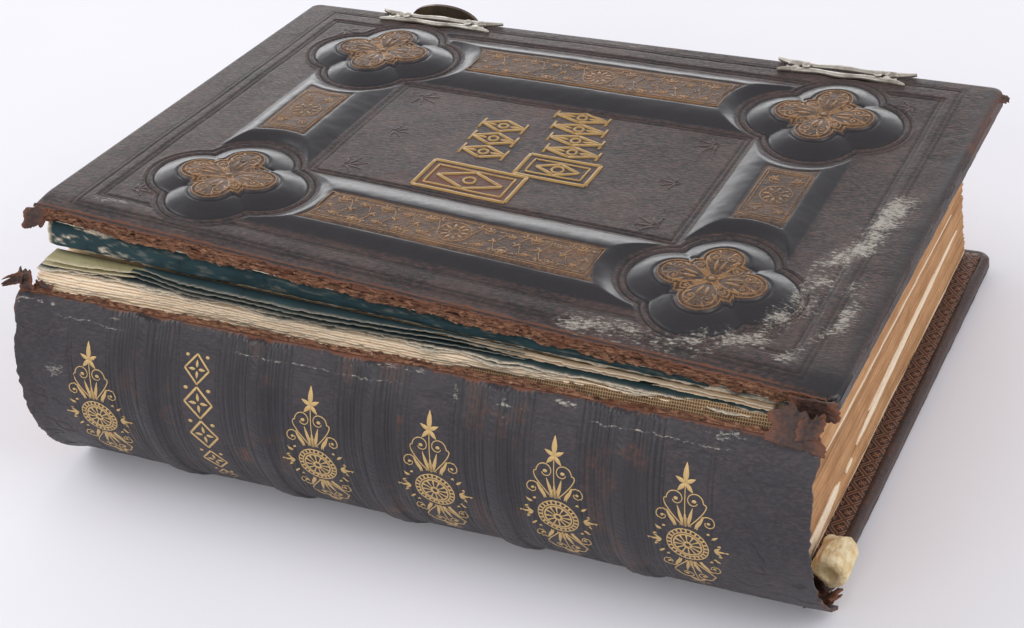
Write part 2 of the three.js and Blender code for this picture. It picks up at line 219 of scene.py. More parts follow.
class Plate:
    """A flat or twisted sheet of the frame: its outline, and the heights of its two faces."""

    def __init__(self, node):
        self.low, self.high = span(node)
        self.size = self.high - self.low
        points = vertices(node)
        self.top = np.empty((2, 2))
        self.bottom = np.empty((2, 2))
        for i, x in enumerate((self.low[0], self.high[0])):
            for j, y in enumerate((self.low[1], self.high[1])):
                near = np.hypot(points[:, 0] - x, points[:, 1] - y)
                heights = points[near < near.min() + 1, 2]
                self.top[i, j], self.bottom[i, j] = heights.max(), heights.min()

    def height(self, x, y, levels):
        s = (x - self.low[0]) / self.size[0]
        t = (y - self.low[1]) / self.size[1]
        return blend(blend(levels[0, 0], levels[1, 0], s), blend(levels[0, 1], levels[1, 1], s), t)

    def over(self, x, y):
        return self.height(x, y, self.top)

    def under(self, x, y):
        return self.height(x, y, self.bottom)


cover = Plate("front_cover_leather")
back = Plate("back_cover_leather")
middle = (cover.low + cover.high) / 2


# ---------------------------------------------------------------- materials


class Shader:
    """A procedural material, built from small steps. Texture places are in millimetres."""

    def __init__(self, name):
        self.material = bpy.data.materials.new(name)
        self.material.use_nodes = True
        self.nodes = self.material.node_tree.nodes
        self.links = self.material.node_tree.links
        self.shader = self.nodes["Principled BSDF"]
        place = self.nodes.new("ShaderNodeTexCoord").outputs["Object"]
        self.place = self.stretch(place, (1 / MM, 1 / MM, 1 / MM))

    def put(self, socket, value):
        if isinstance(value, bpy.types.NodeSocket):
            self.links.new(value, socket)
        elif isinstance(value, tuple) and len(value) == 3 and socket.type == "RGBA":
            socket.default_value = (*value, 1)
        else:
            socket.default_value = value

    def set(self, **inputs):
        for name, value in inputs.items():
            self.put(self.shader.inputs[name.replace("_", " ")], value)

    def stretch(self, place, scale, turn=0.0):
        node = self.nodes.new("ShaderNodeMapping")
        node.vector_type = "TEXTURE"
        self.put(node.inputs["Vector"], place)
        node.inputs["Scale"].default_value = tuple(1 / share for share in scale)
        node.inputs["Rotation"].default_value = (0, 0, turn)
        return node.outputs["Vector"]

    def noise(self, size, detail, rough=0.55, scale=(1, 1, 1), turn=0.0, warp=0.0):
        """Noise with features of about that size in millimetres."""
        node = self.nodes.new("ShaderNodeTexNoise")
        self.put(node.inputs["Vector"], self.stretch(self.place, scale, turn))
        node.inputs["Scale"].default_value = 1 / size
        node.inputs["Detail"].default_value = detail
        node.inputs["Roughness"].default_value = rough
        node.inputs["Distortion"].default_value = warp
        return node.outputs["Fac"]

    def field(self, name):
        node = self.nodes.new("ShaderNodeAttribute")
        node.attribute_name = name
        return node.outputs["Fac"]

    def math(self, operation, a, b=0.0):
        node = self.nodes.new("ShaderNodeMath")
        node.operation = operation
        self.put(node.inputs[0], a)
        self.put(node.inputs[1], b)
        return node.outputs[0]

    def times(self, a, b):
        return self.math("MULTIPLY", a, b)

    def plus(self, a, b):
        return self.math("ADD", a, b)

    def minus(self, a, b):
        return self.math("SUBTRACT", a, b)

    def most(self, a, b):
        return self.math("MAXIMUM", a, b)

    def absolute(self, a):
        return self.math("ABSOLUTE", a)

    def step(self, value, low, high, start=0.0, end=1.0):
        node = self.nodes.new("ShaderNodeMapRange")
        node.interpolation_type = "SMOOTHSTEP"
        self.put(node.inputs["Value"], value)
        for name, number in zip(("From Min", "From Max", "To Min", "To Max"), (low, high, start, end)):
            node.inputs[name].default_value = number
        return node.outputs["Result"]

    def mix(self, share, a, b):
        """A mix of two colours."""
        node = self.nodes.new("ShaderNodeMix")
        node.data_type = "RGBA"
        self.put(node.inputs[0], share)
        self.put(node.inputs[6], a)
        self.put(node.inputs[7], b)
        return node.outputs[2]

    def blend(self, share, a, b):
        """A mix of two numbers."""
        node = self.nodes.new("ShaderNodeMix")
        self.put(node.inputs[0], share)
        self.put(node.inputs[2], a)
        self.put(node.inputs[3], b)
        return node.outputs[0]

    def bump(self, height, depth, strength=1.0, under=None):
        """Bump whose height of 0 to 1 stands for that depth in millimetres."""
        node = self.nodes.new("ShaderNodeBump")
        node.inputs["Strength"].default_value = strength
        node.inputs["Distance"].default_value = depth * MM
        self.put(node.inputs["Height"], height)
        if under is not None:
            self.put(node.inputs["Normal"], under)
        return node.outputs["Normal"]


def brown(red, green, blue):
    """A colour given as the 0 to 255 values that a screen shows."""
    shares = (level / 255 for level in (red, green, blue))
    return tuple(c / 12.92 if c <= 0.04 else ((c + 0.055) / 1.055) ** 2.4 for c in shares)


def between(a, b, share=0.5):
    """A colour part of the way from one to another, as screen values."""
    return tuple(blend(x, y, share) for x, y in zip(a, b))


def leather_material(name="aged_leather", dark=(33, 27, 29), rubbed=(92, 70, 62)):
    """Plum-black leather: straight grain where flat, polished on the mouldings, rubbed at the edges."""
    s = Shader(name)
    gilt = (82, 59, 41)
    cloud = s.noise(24, 5, 0.62)
    patch = s.noise(9, 4, 0.6)
    fine = s.noise(1.5, 4, 0.65)
    ridge = s.noise(1.0, 3, 0.6, (0.42, 1, 1), turn=0.2, warp=0.4)
    polish = s.field("polish")
    ground = s.mix(s.step(cloud, 0.4, 0.62), brown(*dark), brown(*between(dark, rubbed, 0.4)))
    light = s.mix(s.step(patch, 0.4, 0.68), brown(*rubbed), brown(*between(rubbed, (122, 80, 58), 0.3)))
    base = s.mix(s.times(s.step(ridge, 0.42, 0.64), 0.5), ground, light)
    base = s.mix(s.times(polish, 0.9), base, brown(28, 27, 31))
    # Grooves and tooled lines darken: partly dirt and dark tooling in them, partly painted shade in the
    # recess.
    base = s.mix(s.times(s.field("groove"), 0.75), base, brown(20, 16, 17))
    worn = s.plus(s.field("worn"), s.times(s.minus(fine, 0.5), 0.9))
    base = s.mix(s.step(worn, 0.25, 0.95), base, brown(104, 62, 42))
    fill = s.plus(s.times(fine, 0.6), s.times(cloud, 0.4))
    faint, bright = between(dark, gilt, 0.55), between(gilt, (134, 94, 56))
    tint = s.mix(s.step(fill, 0.42, 0.6), brown(*faint), brown(*bright))
    base = s.mix(s.times(s.field("gilt"), 0.9), base, tint)
    bloom = s.field("bloom")
    flecks = s.plus(s.noise(1.1, 5, 0.8, (0.4, 1.1, 1), turn=0.2), s.times(bloom, 0.34))
    bloom = s.times(s.step(flecks, 0.7, 0.88, 0, 0.8), s.step(bloom, 0.02, 0.25))
    base = s.mix(bloom, base, brown(178, 172, 160))
    grain = s.times(s.minus(1.0, polish), s.plus(ridge, s.times(fine, 0.4)))
    height = s.bump(grain, 0.36, 0.8, s.bump(fine, 0.08, 0.4))
    rough = s.blend(polish, s.step(fine, 0.2, 0.8, 0.44, 0.62), s.step(fine, 0.2, 0.8, 0.27, 0.38))
    matt = s.most(bloom, s.step(worn, 0.3, 1))
    s.set(Base_Color=base, Roughness=s.most(rough, s.times(matt, 0.8)), Normal=height)
    s.set(Specular_IOR_Level=0.5)
    return s.material


# ---------------------------------------------------------------- plates


def plan(low, high, spacing, corner, rings, open_spine=False):
    """Places over a plate with rounded corners, whose outer rings of cells hang down its edges.

    Gives x, y, the distance in from the edge, and how far each place hangs: 0 on top, 1 at the rim.
    """
    size = (high - low)[:2]
    n, m = (int(round(s / spacing)) + 2 * rings for s in size)
    i, j = np.meshgrid(np.arange(n + 1), np.arange(m + 1), indexing="ij")
    sides = [i, n - i, m - j, np.full_like(i, rings)]
    ring = np.minimum.reduce(sides if open_spine else [*sides, j])
    first = 0 * ring if open_spine else ring
    x = (i - ring) / (n - 2 * ring) * size[0]
    y = np.clip((j - first) / (m - ring - first), 0, 1) * size[1]
    centre_x = np.where(x < size[0] / 2, corner, size[0] - corner)
    centre_y = np.where(y < size[1] / 2, corner, size[1] - corner)
    side_x, side_y = np.sign(x - size[0] / 2), np.sign(y - size[1] / 2)
    u, v = side_x * (x - centre_x) / corner, side_y * (y - centre_y) / corner
    both = (u > 0) & (v > 0)
    round_u = u * np.sqrt(np.clip(1 - v * v / 2, 0, 1))
    round_v = v * np.sqrt(np.clip(1 - u * u / 2, 0, 1))
    edge = np.minimum.reduce([x, size[0] - x, y, size[1] - y])
    edge = np.where(both, corner * (1 - np.hypot(round_u, round_v)), edge)
    x = np.where(both, centre_x + side_x * corner * round_u, x)
    y = np.where(both, centre_y + side_y * corner * round_v, y)
    return low[0] + x, low[1] + y, np.clip(edge, 0, None), 1 - ring / rings


def rounding(edge, radius):
    """How far a rounded edge has dropped at a distance in from it."""
    inside = np.clip(radius - edge, 0, radius)
    return radius - np.sqrt(radius * radius - inside * inside)


# ---------------------------------------------------------------- front cover

half_length, half_width = (cover.high - cover.low)[:2] / 2
boss_centre = np.array([half_length - 61.8, half_width - 47.0])
lobe_radius = 18.9
lobe_reach = 14.4
inner_panel = (79.0, 43.9)       # half sides of the panel inside the bars
bar_frame = (121.5, 89.3)        # half sides outside the bars
long_strip = (55.0, 68.5, 11.4)  # half length, distance from the middle, half width
short_strip = (18.0, 102.7, 11.5)
bar_height = 2.8
corners = ((-1, -1), (-1, 1), (1, -1), (1, 1))
medallion_lobe = 8.8             # radius of the four round lobes in a boss
medallion_reach = 12.8           # from its middle to theirs
medallion_square = 11.9          # half side of the square behind them
fillets = ((148.0, 103.5), (146.2, 101.7), (141.9, 94.4), (140.1, 92.6))  # half sides of the frame lines


def leather_fields(like, polish, gilt=0.0, worn=0.0, bloom=0.0, groove=0.0):
    """The finish of leather at each place, under the names that leather_material reads; groove darkens
    grooves and lines, partly dirt and partly painted shade.
    """
    finish = {"polish": polish, "gilt": gilt, "worn": worn, "bloom": bloom, "groove": groove}
    return {name: value + 0 * like for name, value in finish.items()}


def rectangle(x, y, half):
    """Distance outside a rectangle, below 0 inside it."""
    return np.maximum(np.abs(x) - half[0], np.abs(y) - half[1])


def quatrefoil(x, y):
    """Distance outside a boss of four round lobes."""
    x, y = np.abs(x), np.abs(y)
    lobes = np.minimum(np.hypot(x - lobe_reach, y), np.hypot(x, y - lobe_reach)) - lobe_radius
    return np.minimum(lobes, (x + y - lobe_reach) / math.sqrt(2))


def medallion(x, y):
    """Distance inside the gilt centre of a boss: four round lobes on a square whose corners show between."""
    x, y = np.abs(x), np.abs(y)
    off_lobes = np.minimum(np.hypot(x - medallion_reach, y), np.hypot(x, y - medallion_reach))
    return np.maximum(medallion_lobe - off_lobes, medallion_square - np.maximum(x, y))


def cover_relief(x, y):
    """Height and finish of the cover at places from the middle of the board."""
    boss_x, boss_y = np.abs(x) - boss_centre[0], np.abs(y) - boss_centre[1]
    ring = quatrefoil(boss_x, boss_y)
    centre = medallion(boss_x, boss_y)
    inner = rectangle(x, y, inner_panel)
    outer = -rectangle(x, y, bar_frame)
    slope_in = np.where(np.abs(x) / inner_panel[0] > np.abs(y) / inner_panel[1], 12.2, 13.2)
    rise = np.minimum.reduce([inner / slope_in, outer / 8.5, (ring - 3.2) / 7.5])
    height = bar_height * np.sin(np.clip(rise, 0, 1) * math.pi / 2)
    strip = smooth(rise, 0.98, 1.12)
    # The groove along each bar's top is sunk and darkened in colour: partly dirt, partly painted shade.
    groove = 0.9 * hump(rise - 1.08, 0.1)
    height -= 0.45 * groove

    lines = 0
    for half in fillets:
        lines = np.maximum(lines, hump(rectangle(x, y, half), 0.85))
    for inset in (1.2, 3.2):
        lines = np.maximum(lines, hump(inner + inset, 0.85))
    lines = lines * smooth(ring, 3, 4.5)
    band = smooth(-rectangle(x, y, (148.9, 104.4)), 0, 1) * smooth(rectangle(x, y, (141, 93.5)), 0, 1)
    height += 0.3 * band * smooth(ring, 4, 7)

    dome = np.sin(np.clip((-ring - 1.2) / 12.5, 0, 1) * math.pi / 2)
    height += 3.3 * dome + 0.5 * smooth(centre, -0.2, 1.0) + 0.4 * smooth(centre, 0, 12)
    height += 0.55 * hump(ring - 0.4, 1.3) + 0.35 * hump(ring - 2.9, 1.0)
    for distance, width in ((ring - 1.8, 0.8), (ring + 1.0, 0.8), (centre + 0.5, 0.8), (centre - 1.9, 0.7)):
        lines = np.maximum(lines, hump(distance, width))
    height -= 0.5 * lines
    # The tooled lines get the same darkening, partly painted shade in the recess.
    groove = np.maximum(groove, 0.8 * lines)

    inside = smooth(-ring, 0.6, 1.4) * (1 - smooth(centre, 0, 1))
    polish = np.maximum(smooth(rise, 0.02, 0.1) * (1 - strip), inside)
    gilt = np.maximum(strip, smooth(centre, 0.3, 1.5) * smooth(-ring, 2, 5))
    return height, np.clip(polish, 0, 1), gilt, groove


def near_path(x, y, bends):
    """Distance from a line drawn through the bends."""
    nearest = np.inf
    for (x0, y0), (x1, y1) in zip(bends, bends[1:]):
        share = ((x - x0) * (x1 - x0) + (y - y0) * (y1 - y0)) / ((x1 - x0) ** 2 + (y1 - y0) ** 2)
        share = np.clip(share, 0, 1)
        nearest = np.minimum(nearest, np.hypot(x - blend(x0, x1, share), y - blend(y0, y1, share)))
    return nearest


def cover_point(x, y, lift):
    """A point on the embossed cover, at a place from the middle of the board."""
    place_x, place_y = middle[0] + x, middle[1] + y
    height = cover_relief(x, y)[0] + cover_sag(x, y) + lift
    return stacked(place_x, place_y, cover.over(place_x, place_y) + height)


def cover_sag(x, y):
    """The soft unevenness of old board and leather."""
    return 0.45 * noise_over(x, y, 45, 3, 2) + 0.12 * noise_over(x, y, 6, 4, 2)


def white_bloom(x, y):
    """Where damp has left white bloom: down the tail, round the near tail boss, and by the head corner."""
    tide = ((148, 14), (145, -16), (136, -38), (135, -66), (125, -88), (100, -104), (62, -101))
    streak = 0.9 * hump(near_path(x, y, tide), 13.0)
    haze = 0.7 * hump(near_path(x, y, ((149, -44), (152, -70), (138, -96))), 9.0)
    corner = 0.6 * hump(near_path(x, y, ((-140, -97), (-128, -95))), 6.0)
    total = np.maximum.reduce([streak, haze, corner])
    return np.clip(total * (0.9 + 0.7 * noise_over(x, y, 8, 8)), 0, 1)


# ---------------------------------------------------------------- spine


class Spine:
    """The rounded back: x along the book, v up round the curve from the middle of the back."""

    def __init__(self):
        self.low, self.high = span("spine_leather")
        top_turn, bottom_turn = math.radians(42), math.radians(-58)
        self.radius = (self.high[2] - self.low[2]) / (math.sin(top_turn) - math.sin(bottom_turn))
        self.axis_y = self.low[1] + self.radius
        self.axis_z = self.low[2] - self.radius * math.sin(bottom_turn)
        self.top, self.bottom = self.radius * top_turn, self.radius * bottom_turn
        ends = [span(f"raised_band_{i}") for i in range(1, 6)]
        self.bands = [(low[0] + high[0]) / 2 for low, high in ends]
        pitch = self.bands[1] - self.bands[0]
        self.panels = [self.bands[0] + (i - 0.5) * pitch for i in range(6)]

    def bare(self, x, v, lift):
        turn, reach = v / self.radius, self.radius + lift
        return stacked(x, self.axis_y - reach * np.cos(turn), self.axis_z + reach * np.sin(turn))

    def point(self, x, v, lift):
        return self.bare(x, v, spine_relief(x, v)[0] + lift)


spine = Spine()


def spine_relief(x, v):
    """Height and finish of the spine leather: bands, fillets and blind frames."""
    x, v = np.broadcast_arrays(np.asarray(x, float), np.asarray(v, float))
    height = 0.35 * noise(x / 30, v / 22, 41, 2) + 0.14 * noise_over(x, v, 5, 42, 2)
    polish, worn, groove = np.zeros_like(x), np.zeros_like(x), np.zeros_like(x)
    for band in spine.bands:
        off = np.abs(x - band)
        height += 1.3 * smooth(-off, -5.4, -4.0)
        rope = 0.5 + 0.5 * np.sin(v * 2.6 + (x - band) * 1.6)
        height += 0.25 * hump(off, 1.9) * rope
        for line in (2.6, 3.9, 6.4, 7.7, 9.4, 10.7, 13.0, 15.2):
            groove = np.maximum(groove, hump(off - line, 0.62))
        worn += 0.42 * smooth(-off, -15.5, -12) * smooth(noise(x / 9, v / 12, 43, 3), -0.25, 0.45)
        polish += 0.5 * smooth(-off, -15, -13)
    for panel in spine.panels:
        frame_line = rectangle(x - panel, v + 3, (8.2, 34.0))
        groove = np.maximum(groove, 0.7 * np.maximum(hump(frame_line, 0.6), hump(frame_line - 1.6, 0.6)))
        spot = 1 - smooth(np.hypot((x - panel) / 14, (v + 4) / 26), 0.4, 1)
        worn += 0.2 * spot * smooth(noise(x / 7, v / 9, 46, 3), -0.2, 0.5)
    # The fillets and frame lines darken in colour: partly dirt, partly painted shade in the recess.
    groove = groove * (0.65 + 0.5 * noise(x / 3, v / 16, 47, 2))
    height -= 0.5 * groove
    crack = np.abs(noise(x / 26, v / 15, 45, 3))
    deep = 1 - smooth(crack, 0.0, 0.035)
    near_ends = smooth(np.abs(x), 120, 160)
    height -= 0.5 * deep * (0.25 + 0.75 * near_ends)
    worn += 0.5 * deep * near_ends
    return height, np.clip(polish, 0, 1), worn, np.clip(groove, 0, 1)


def make_spine():
    """The spine leather, torn along its upper edge and ragged at head and tail."""
    columns, rows = 900, 170
    x = np.linspace(spine.low[0], spine.high[0], columns)[:, None]
    t = np.linspace(0, 1, rows)[None, :]
    tear = 1.1 * noise_along(x, 11, 51, 4) + 0.7 * noise_along(x, 1.9, 52, 2)
    top = spine.top - 0.4 + tear
    v = spine.bottom + (top - spine.bottom) * t
    ends = smooth(np.abs(x), 158, 165) * np.sign(x)
    x = x + ends * (1.2 * noise_along(v, 9, 53, 4) + 0.6 * noise_along(v, 2, 54, 2) - 0.5)
    height, polish, worn, groove = spine_relief(x, v)
    edge = np.minimum(top - v, 200)
    height = height * smooth(edge, 0, 4) - 0.9 * (1 - smooth(edge, 0, 3.5))
    curl = smooth(np.abs(x), 156, 165)
    height = height - 1.0 * curl * (0.5 + 0.5 * noise_along(v, 12, 55)) * (x > 0) + 1.6 * curl * (x < 0)
    worn = worn + 0.95 * (1 - smooth(edge, 0.3, 3.0)) + 0.7 * smooth(np.abs(x), 162, 165)
    worn = worn + 0.25 * smooth(noise(x / 16, v / 10, 57), 0.25, 0.8)
    corner = np.exp(-(((x + 146) / 7) ** 2) - ((v - 12) / 5) ** 2)
    scuff = hump(edge - 4, 4) * smooth(noise(x / 12, v / 2.5, 58, 4), 0.05, 0.45)
    scuff = scuff + hump(edge - 8.5, 0.9) * smooth(noise_along(x, 20, 56, 3), -0.3, 0.2)
    crests = hump(edge - 8, 16) * smooth(noise(x / 2.2, v / 22, 59, 3), 0.2, 0.6)
    crests = crests * smooth(noise_along(x, 30, 60), -0.1, 0.5)
    outer = spine.bare(x, v, height)
    inner = spine.bare(x, v, -1.6 + np.minimum(height, 0) * 0.5)
    bloom = np.clip(0.7 * corner + 0.8 * scuff + 0.6 * crests, 0, 1)
    piece = slab("spine_cover", outer, inner, leather_fields(worn, polish, 0, worn, bloom, groove))
    material = leather_material("spine_leather", (37, 34, 39), (62, 55, 60))
    dress(piece, material, "text_block", "spine_leather")


make_spine()


# ---------------------------------------------------------------- paper


def paper_material(name, light, shade, line, stain=0.5):
    """Old paper or leaf edges: fine lines along the leaves, brown stains and a soft fibrous surface."""
    s = Shader(name)
    cloud = s.noise(17, 4, 0.6)
    fibre = s.noise(0.8, 3, 0.7, (0.5, 1, 1))
    leaves = s.noise(1.0, 3, 0.8, (0.016, 0.016, 2.6))
    thick = s.noise(1.0, 2, 0.6, (0.01, 0.01, 0.55))
    lines = s.plus(s.times(leaves, 0.65), s.times(thick, 0.35))
    base = s.mix(s.step(cloud, 0.3, 0.75), brown(*light), brown(*between(light, shade, 0.4)))
    base = s.mix(s.times(s.step(lines, 0.38, 0.66), line), base, brown(*shade))
    base = s.mix(s.times(s.step(s.noise(6, 5, 0.7), 0.55, 0.78), stain), base, brown(*shade))
    torn = s.times(s.field("torn"), s.step(fibre, 0.3, 0.6, 0.4, 1.0))
    base = s.mix(torn, base, brown(244, 226, 200))
    height = s.bump(s.plus(s.times(lines, line), s.times(fibre, 0.25)), 0.35, 0.8)
    s.set(Base_Color=base, Roughness=s.step(fibre, 0.2, 0.8, 0.75, 0.95), Normal=height)
    s.set(Specular_IOR_Level=0.25)
    return s.material


def leaf_profile(node):
    """The levels of a section and its spine and fore edges at each, read off its own corners."""
    points = vertices(node)
    levels = np.unique(np.round(points[:, 2], 2))
    spine_edge = [points[np.abs(points[:, 2] - z) < 0.02, 1].min() for z in levels]
    fore_edge = [points[np.abs(points[:, 2] - z) < 0.02, 1].max() for z in levels]
    return levels, np.array(spine_edge), np.array(fore_edge)


def outline(low, high, step):
    """Shares of the way along and across, going once round a rectangle, with its outward direction."""
    long_side, wide_side = (int(round(s / step)) for s in (high - low)[:2])
    along, across = np.arange(long_side) / long_side, np.arange(wide_side) / wide_side
    s = np.concatenate([along, 1 + 0 * across, 1 - along, 0 * across])
    t = np.concatenate([0 * along, across, 1 + 0 * along, 1 - across])
    out_x = np.where(s == 1, 1.0, np.where(s == 0, -1.0, 0.0))
    out_y = np.where(t == 1, 1.0, np.where(t == 0, -1.0, 0.0))
    return s, t, out_x, out_y


def make_section(index, material):
    """A sewn section whose leaves stand in and out a little, so each edge shows as a line."""
    node = f"section_{index}"
    low, high = span(node)
    levels, spine_edge, fore_edge = leaf_profile(node)
    pitch = 0.42
    count = int(round((high[2] - low[2]) / pitch)) + 1
    s, t, out_x, out_y = outline(low, high, 2.2)
    rings = []
    for i, z in enumerate(np.linspace(low[2], high[2], count)):
        near, far = np.interp(z, levels, spine_edge), np.interp(z, levels, fore_edge)
        x, y = low[0] + s * (high[0] - low[0]), near + t * (far - near)
        seed = 100 * index + i
        own = 0.45 * noise(np.array([i / 1.3]), np.array([index * 3.7]), 61, 1)[0]
        ripple = 0.35 * noise(x / 40 + y / 31, 0 * x + i / 3, 62, 2)
        ripple = ripple + 0.12 * noise(x / 5 + y / 4, 0 * x + i, seed, 1)
        inset = np.clip(0.35 + own + ripple, 0, 1.2)
        inset = np.where(out_y < 0, inset * 0.4, inset)
        sag = 0.25 * noise_over(x, y, 60, 63 + index, 1) * (0 < i < count - 1)
        rings.append(stacked(x - out_x * inset, y - out_y * inset, z + 0.3 * sag))
    piece = loft(f"leaves_of_{node}", rings)
    dress(piece, material, "text_block", node)


def paper_block(name, node, material, body, rings, spacing=2.6, out=0.0, ragged=0.6, inset=0.0):
    """A bent block of leaves or board between the faces of a CAD sheet, uneven at its edges.

    Its edge has that many rings of cells. It stands out past the spine edge, is torn ragged there,
    and lies inset from its other sides.
    """
    plate = Plate(node)
    low = plate.low + np.array([inset, inset - out, 0])
    high = plate.high - np.array([inset, inset, 0])
    x, y, edge, hang = plan(low, high, spacing, 1.0, rings)
    thickness = (plate.top - plate.bottom).mean()
    seed = sum(map(ord, name))
    leaf = noise(hang * rings / 1.4, 0 * hang + seed, seed, 1)
    spine_side = 1 - smooth(y - low[1], 0, 6)
    back_by = np.clip(0.4 + 0.5 * leaf + 0.3 * noise(x / 30 + y / 20, hang * 9, seed + 1, 2), 0, 1.3)
    tear = 1 + noise(x / 13, hang * 2.5, seed + 2, 4) + 0.5 * noise(x / 2.3, hang * 7, seed + 3, 2)
    inwards = np.sign(middle[1] - y) * (1 - smooth(edge, 0, 3)) * (1 - spine_side)
    move_y = spine_side * ragged * tear * 1.4 + back_by * inwards
    move_x = back_by * np.sign(-x) * (1 - smooth(np.minimum(x - low[0], high[0] - x), 0, 3))
    px, py = x + move_x, y + move_y
    wave = 0.35 * noise(px / 50, py / 40, seed + 4, 2)
    top = stacked(px, py, plate.over(px, py) - 0.2 + np.minimum(wave, 0.1) - hang * (thickness - 0.25))
    n, m = x.shape
    flat_x = np.linspace(low[0], high[0], n)[:, None] + 0 * x
    flat_y = np.linspace(low[1], high[1], m)[None, :] + 0 * x
    rim_mask = np.ones_like(x, bool)
    rim_mask[1:-1, 1:-1] = False
    flat_x, flat_y = np.where(rim_mask, px, flat_x), np.where(rim_mask, py, flat_y)
    bottom = stacked(flat_x, flat_y, plate.under(flat_x, flat_y) + 0.02)
    torn = np.clip(spine_side * 1.3 * (0.5 + noise(x / 5, hang * 4, seed + 5)), 0, 1)
    piece = slab(name, top, bottom, {"torn": torn})
    dress(piece, material, body, node)


def make_leaves():
    """The sections, the loose leaves at the top and the lining papers of the front."""
    edges = paper_material("leaf_edges", (206, 160, 116), (140, 98, 64), line=0.8)
    cream = paper_material("cream_leaves", (240, 216, 184), (196, 154, 112), line=0.22, stain=0.2)
    teal = paper_material("teal_endpaper", (44, 68, 72), (20, 32, 36), line=0.3, stain=0.7)
    olive = paper_material("olive_leaf", (176, 170, 130), (118, 104, 66), line=0.3)
    for index in range(1, 7):
        make_section(index, edges)
    block = "text_block"
    paper_block("top_leaves_lower", "loose_section_1", edges, block, 12)
    paper_block("top_leaves_upper", "loose_section_2", cream, block, 12, out=1.5, ragged=1.6)
    paper_block("front_leaf", "front_flyleaf", olive, "flyleaf", 2, ragged=1.5)
    paper_block("front_endpaper", "front_free_endpaper", teal, "endpaper_leaf", 2, ragged=1.2)
    paper_block("front_board_lining", "front_pastedown", teal, "front_board", 2)
    paper_block("rear_leaf", "rear_flyleaf", cream, block, 2)


make_leaves()


# ---------------------------------------------------------------- gilt tooling


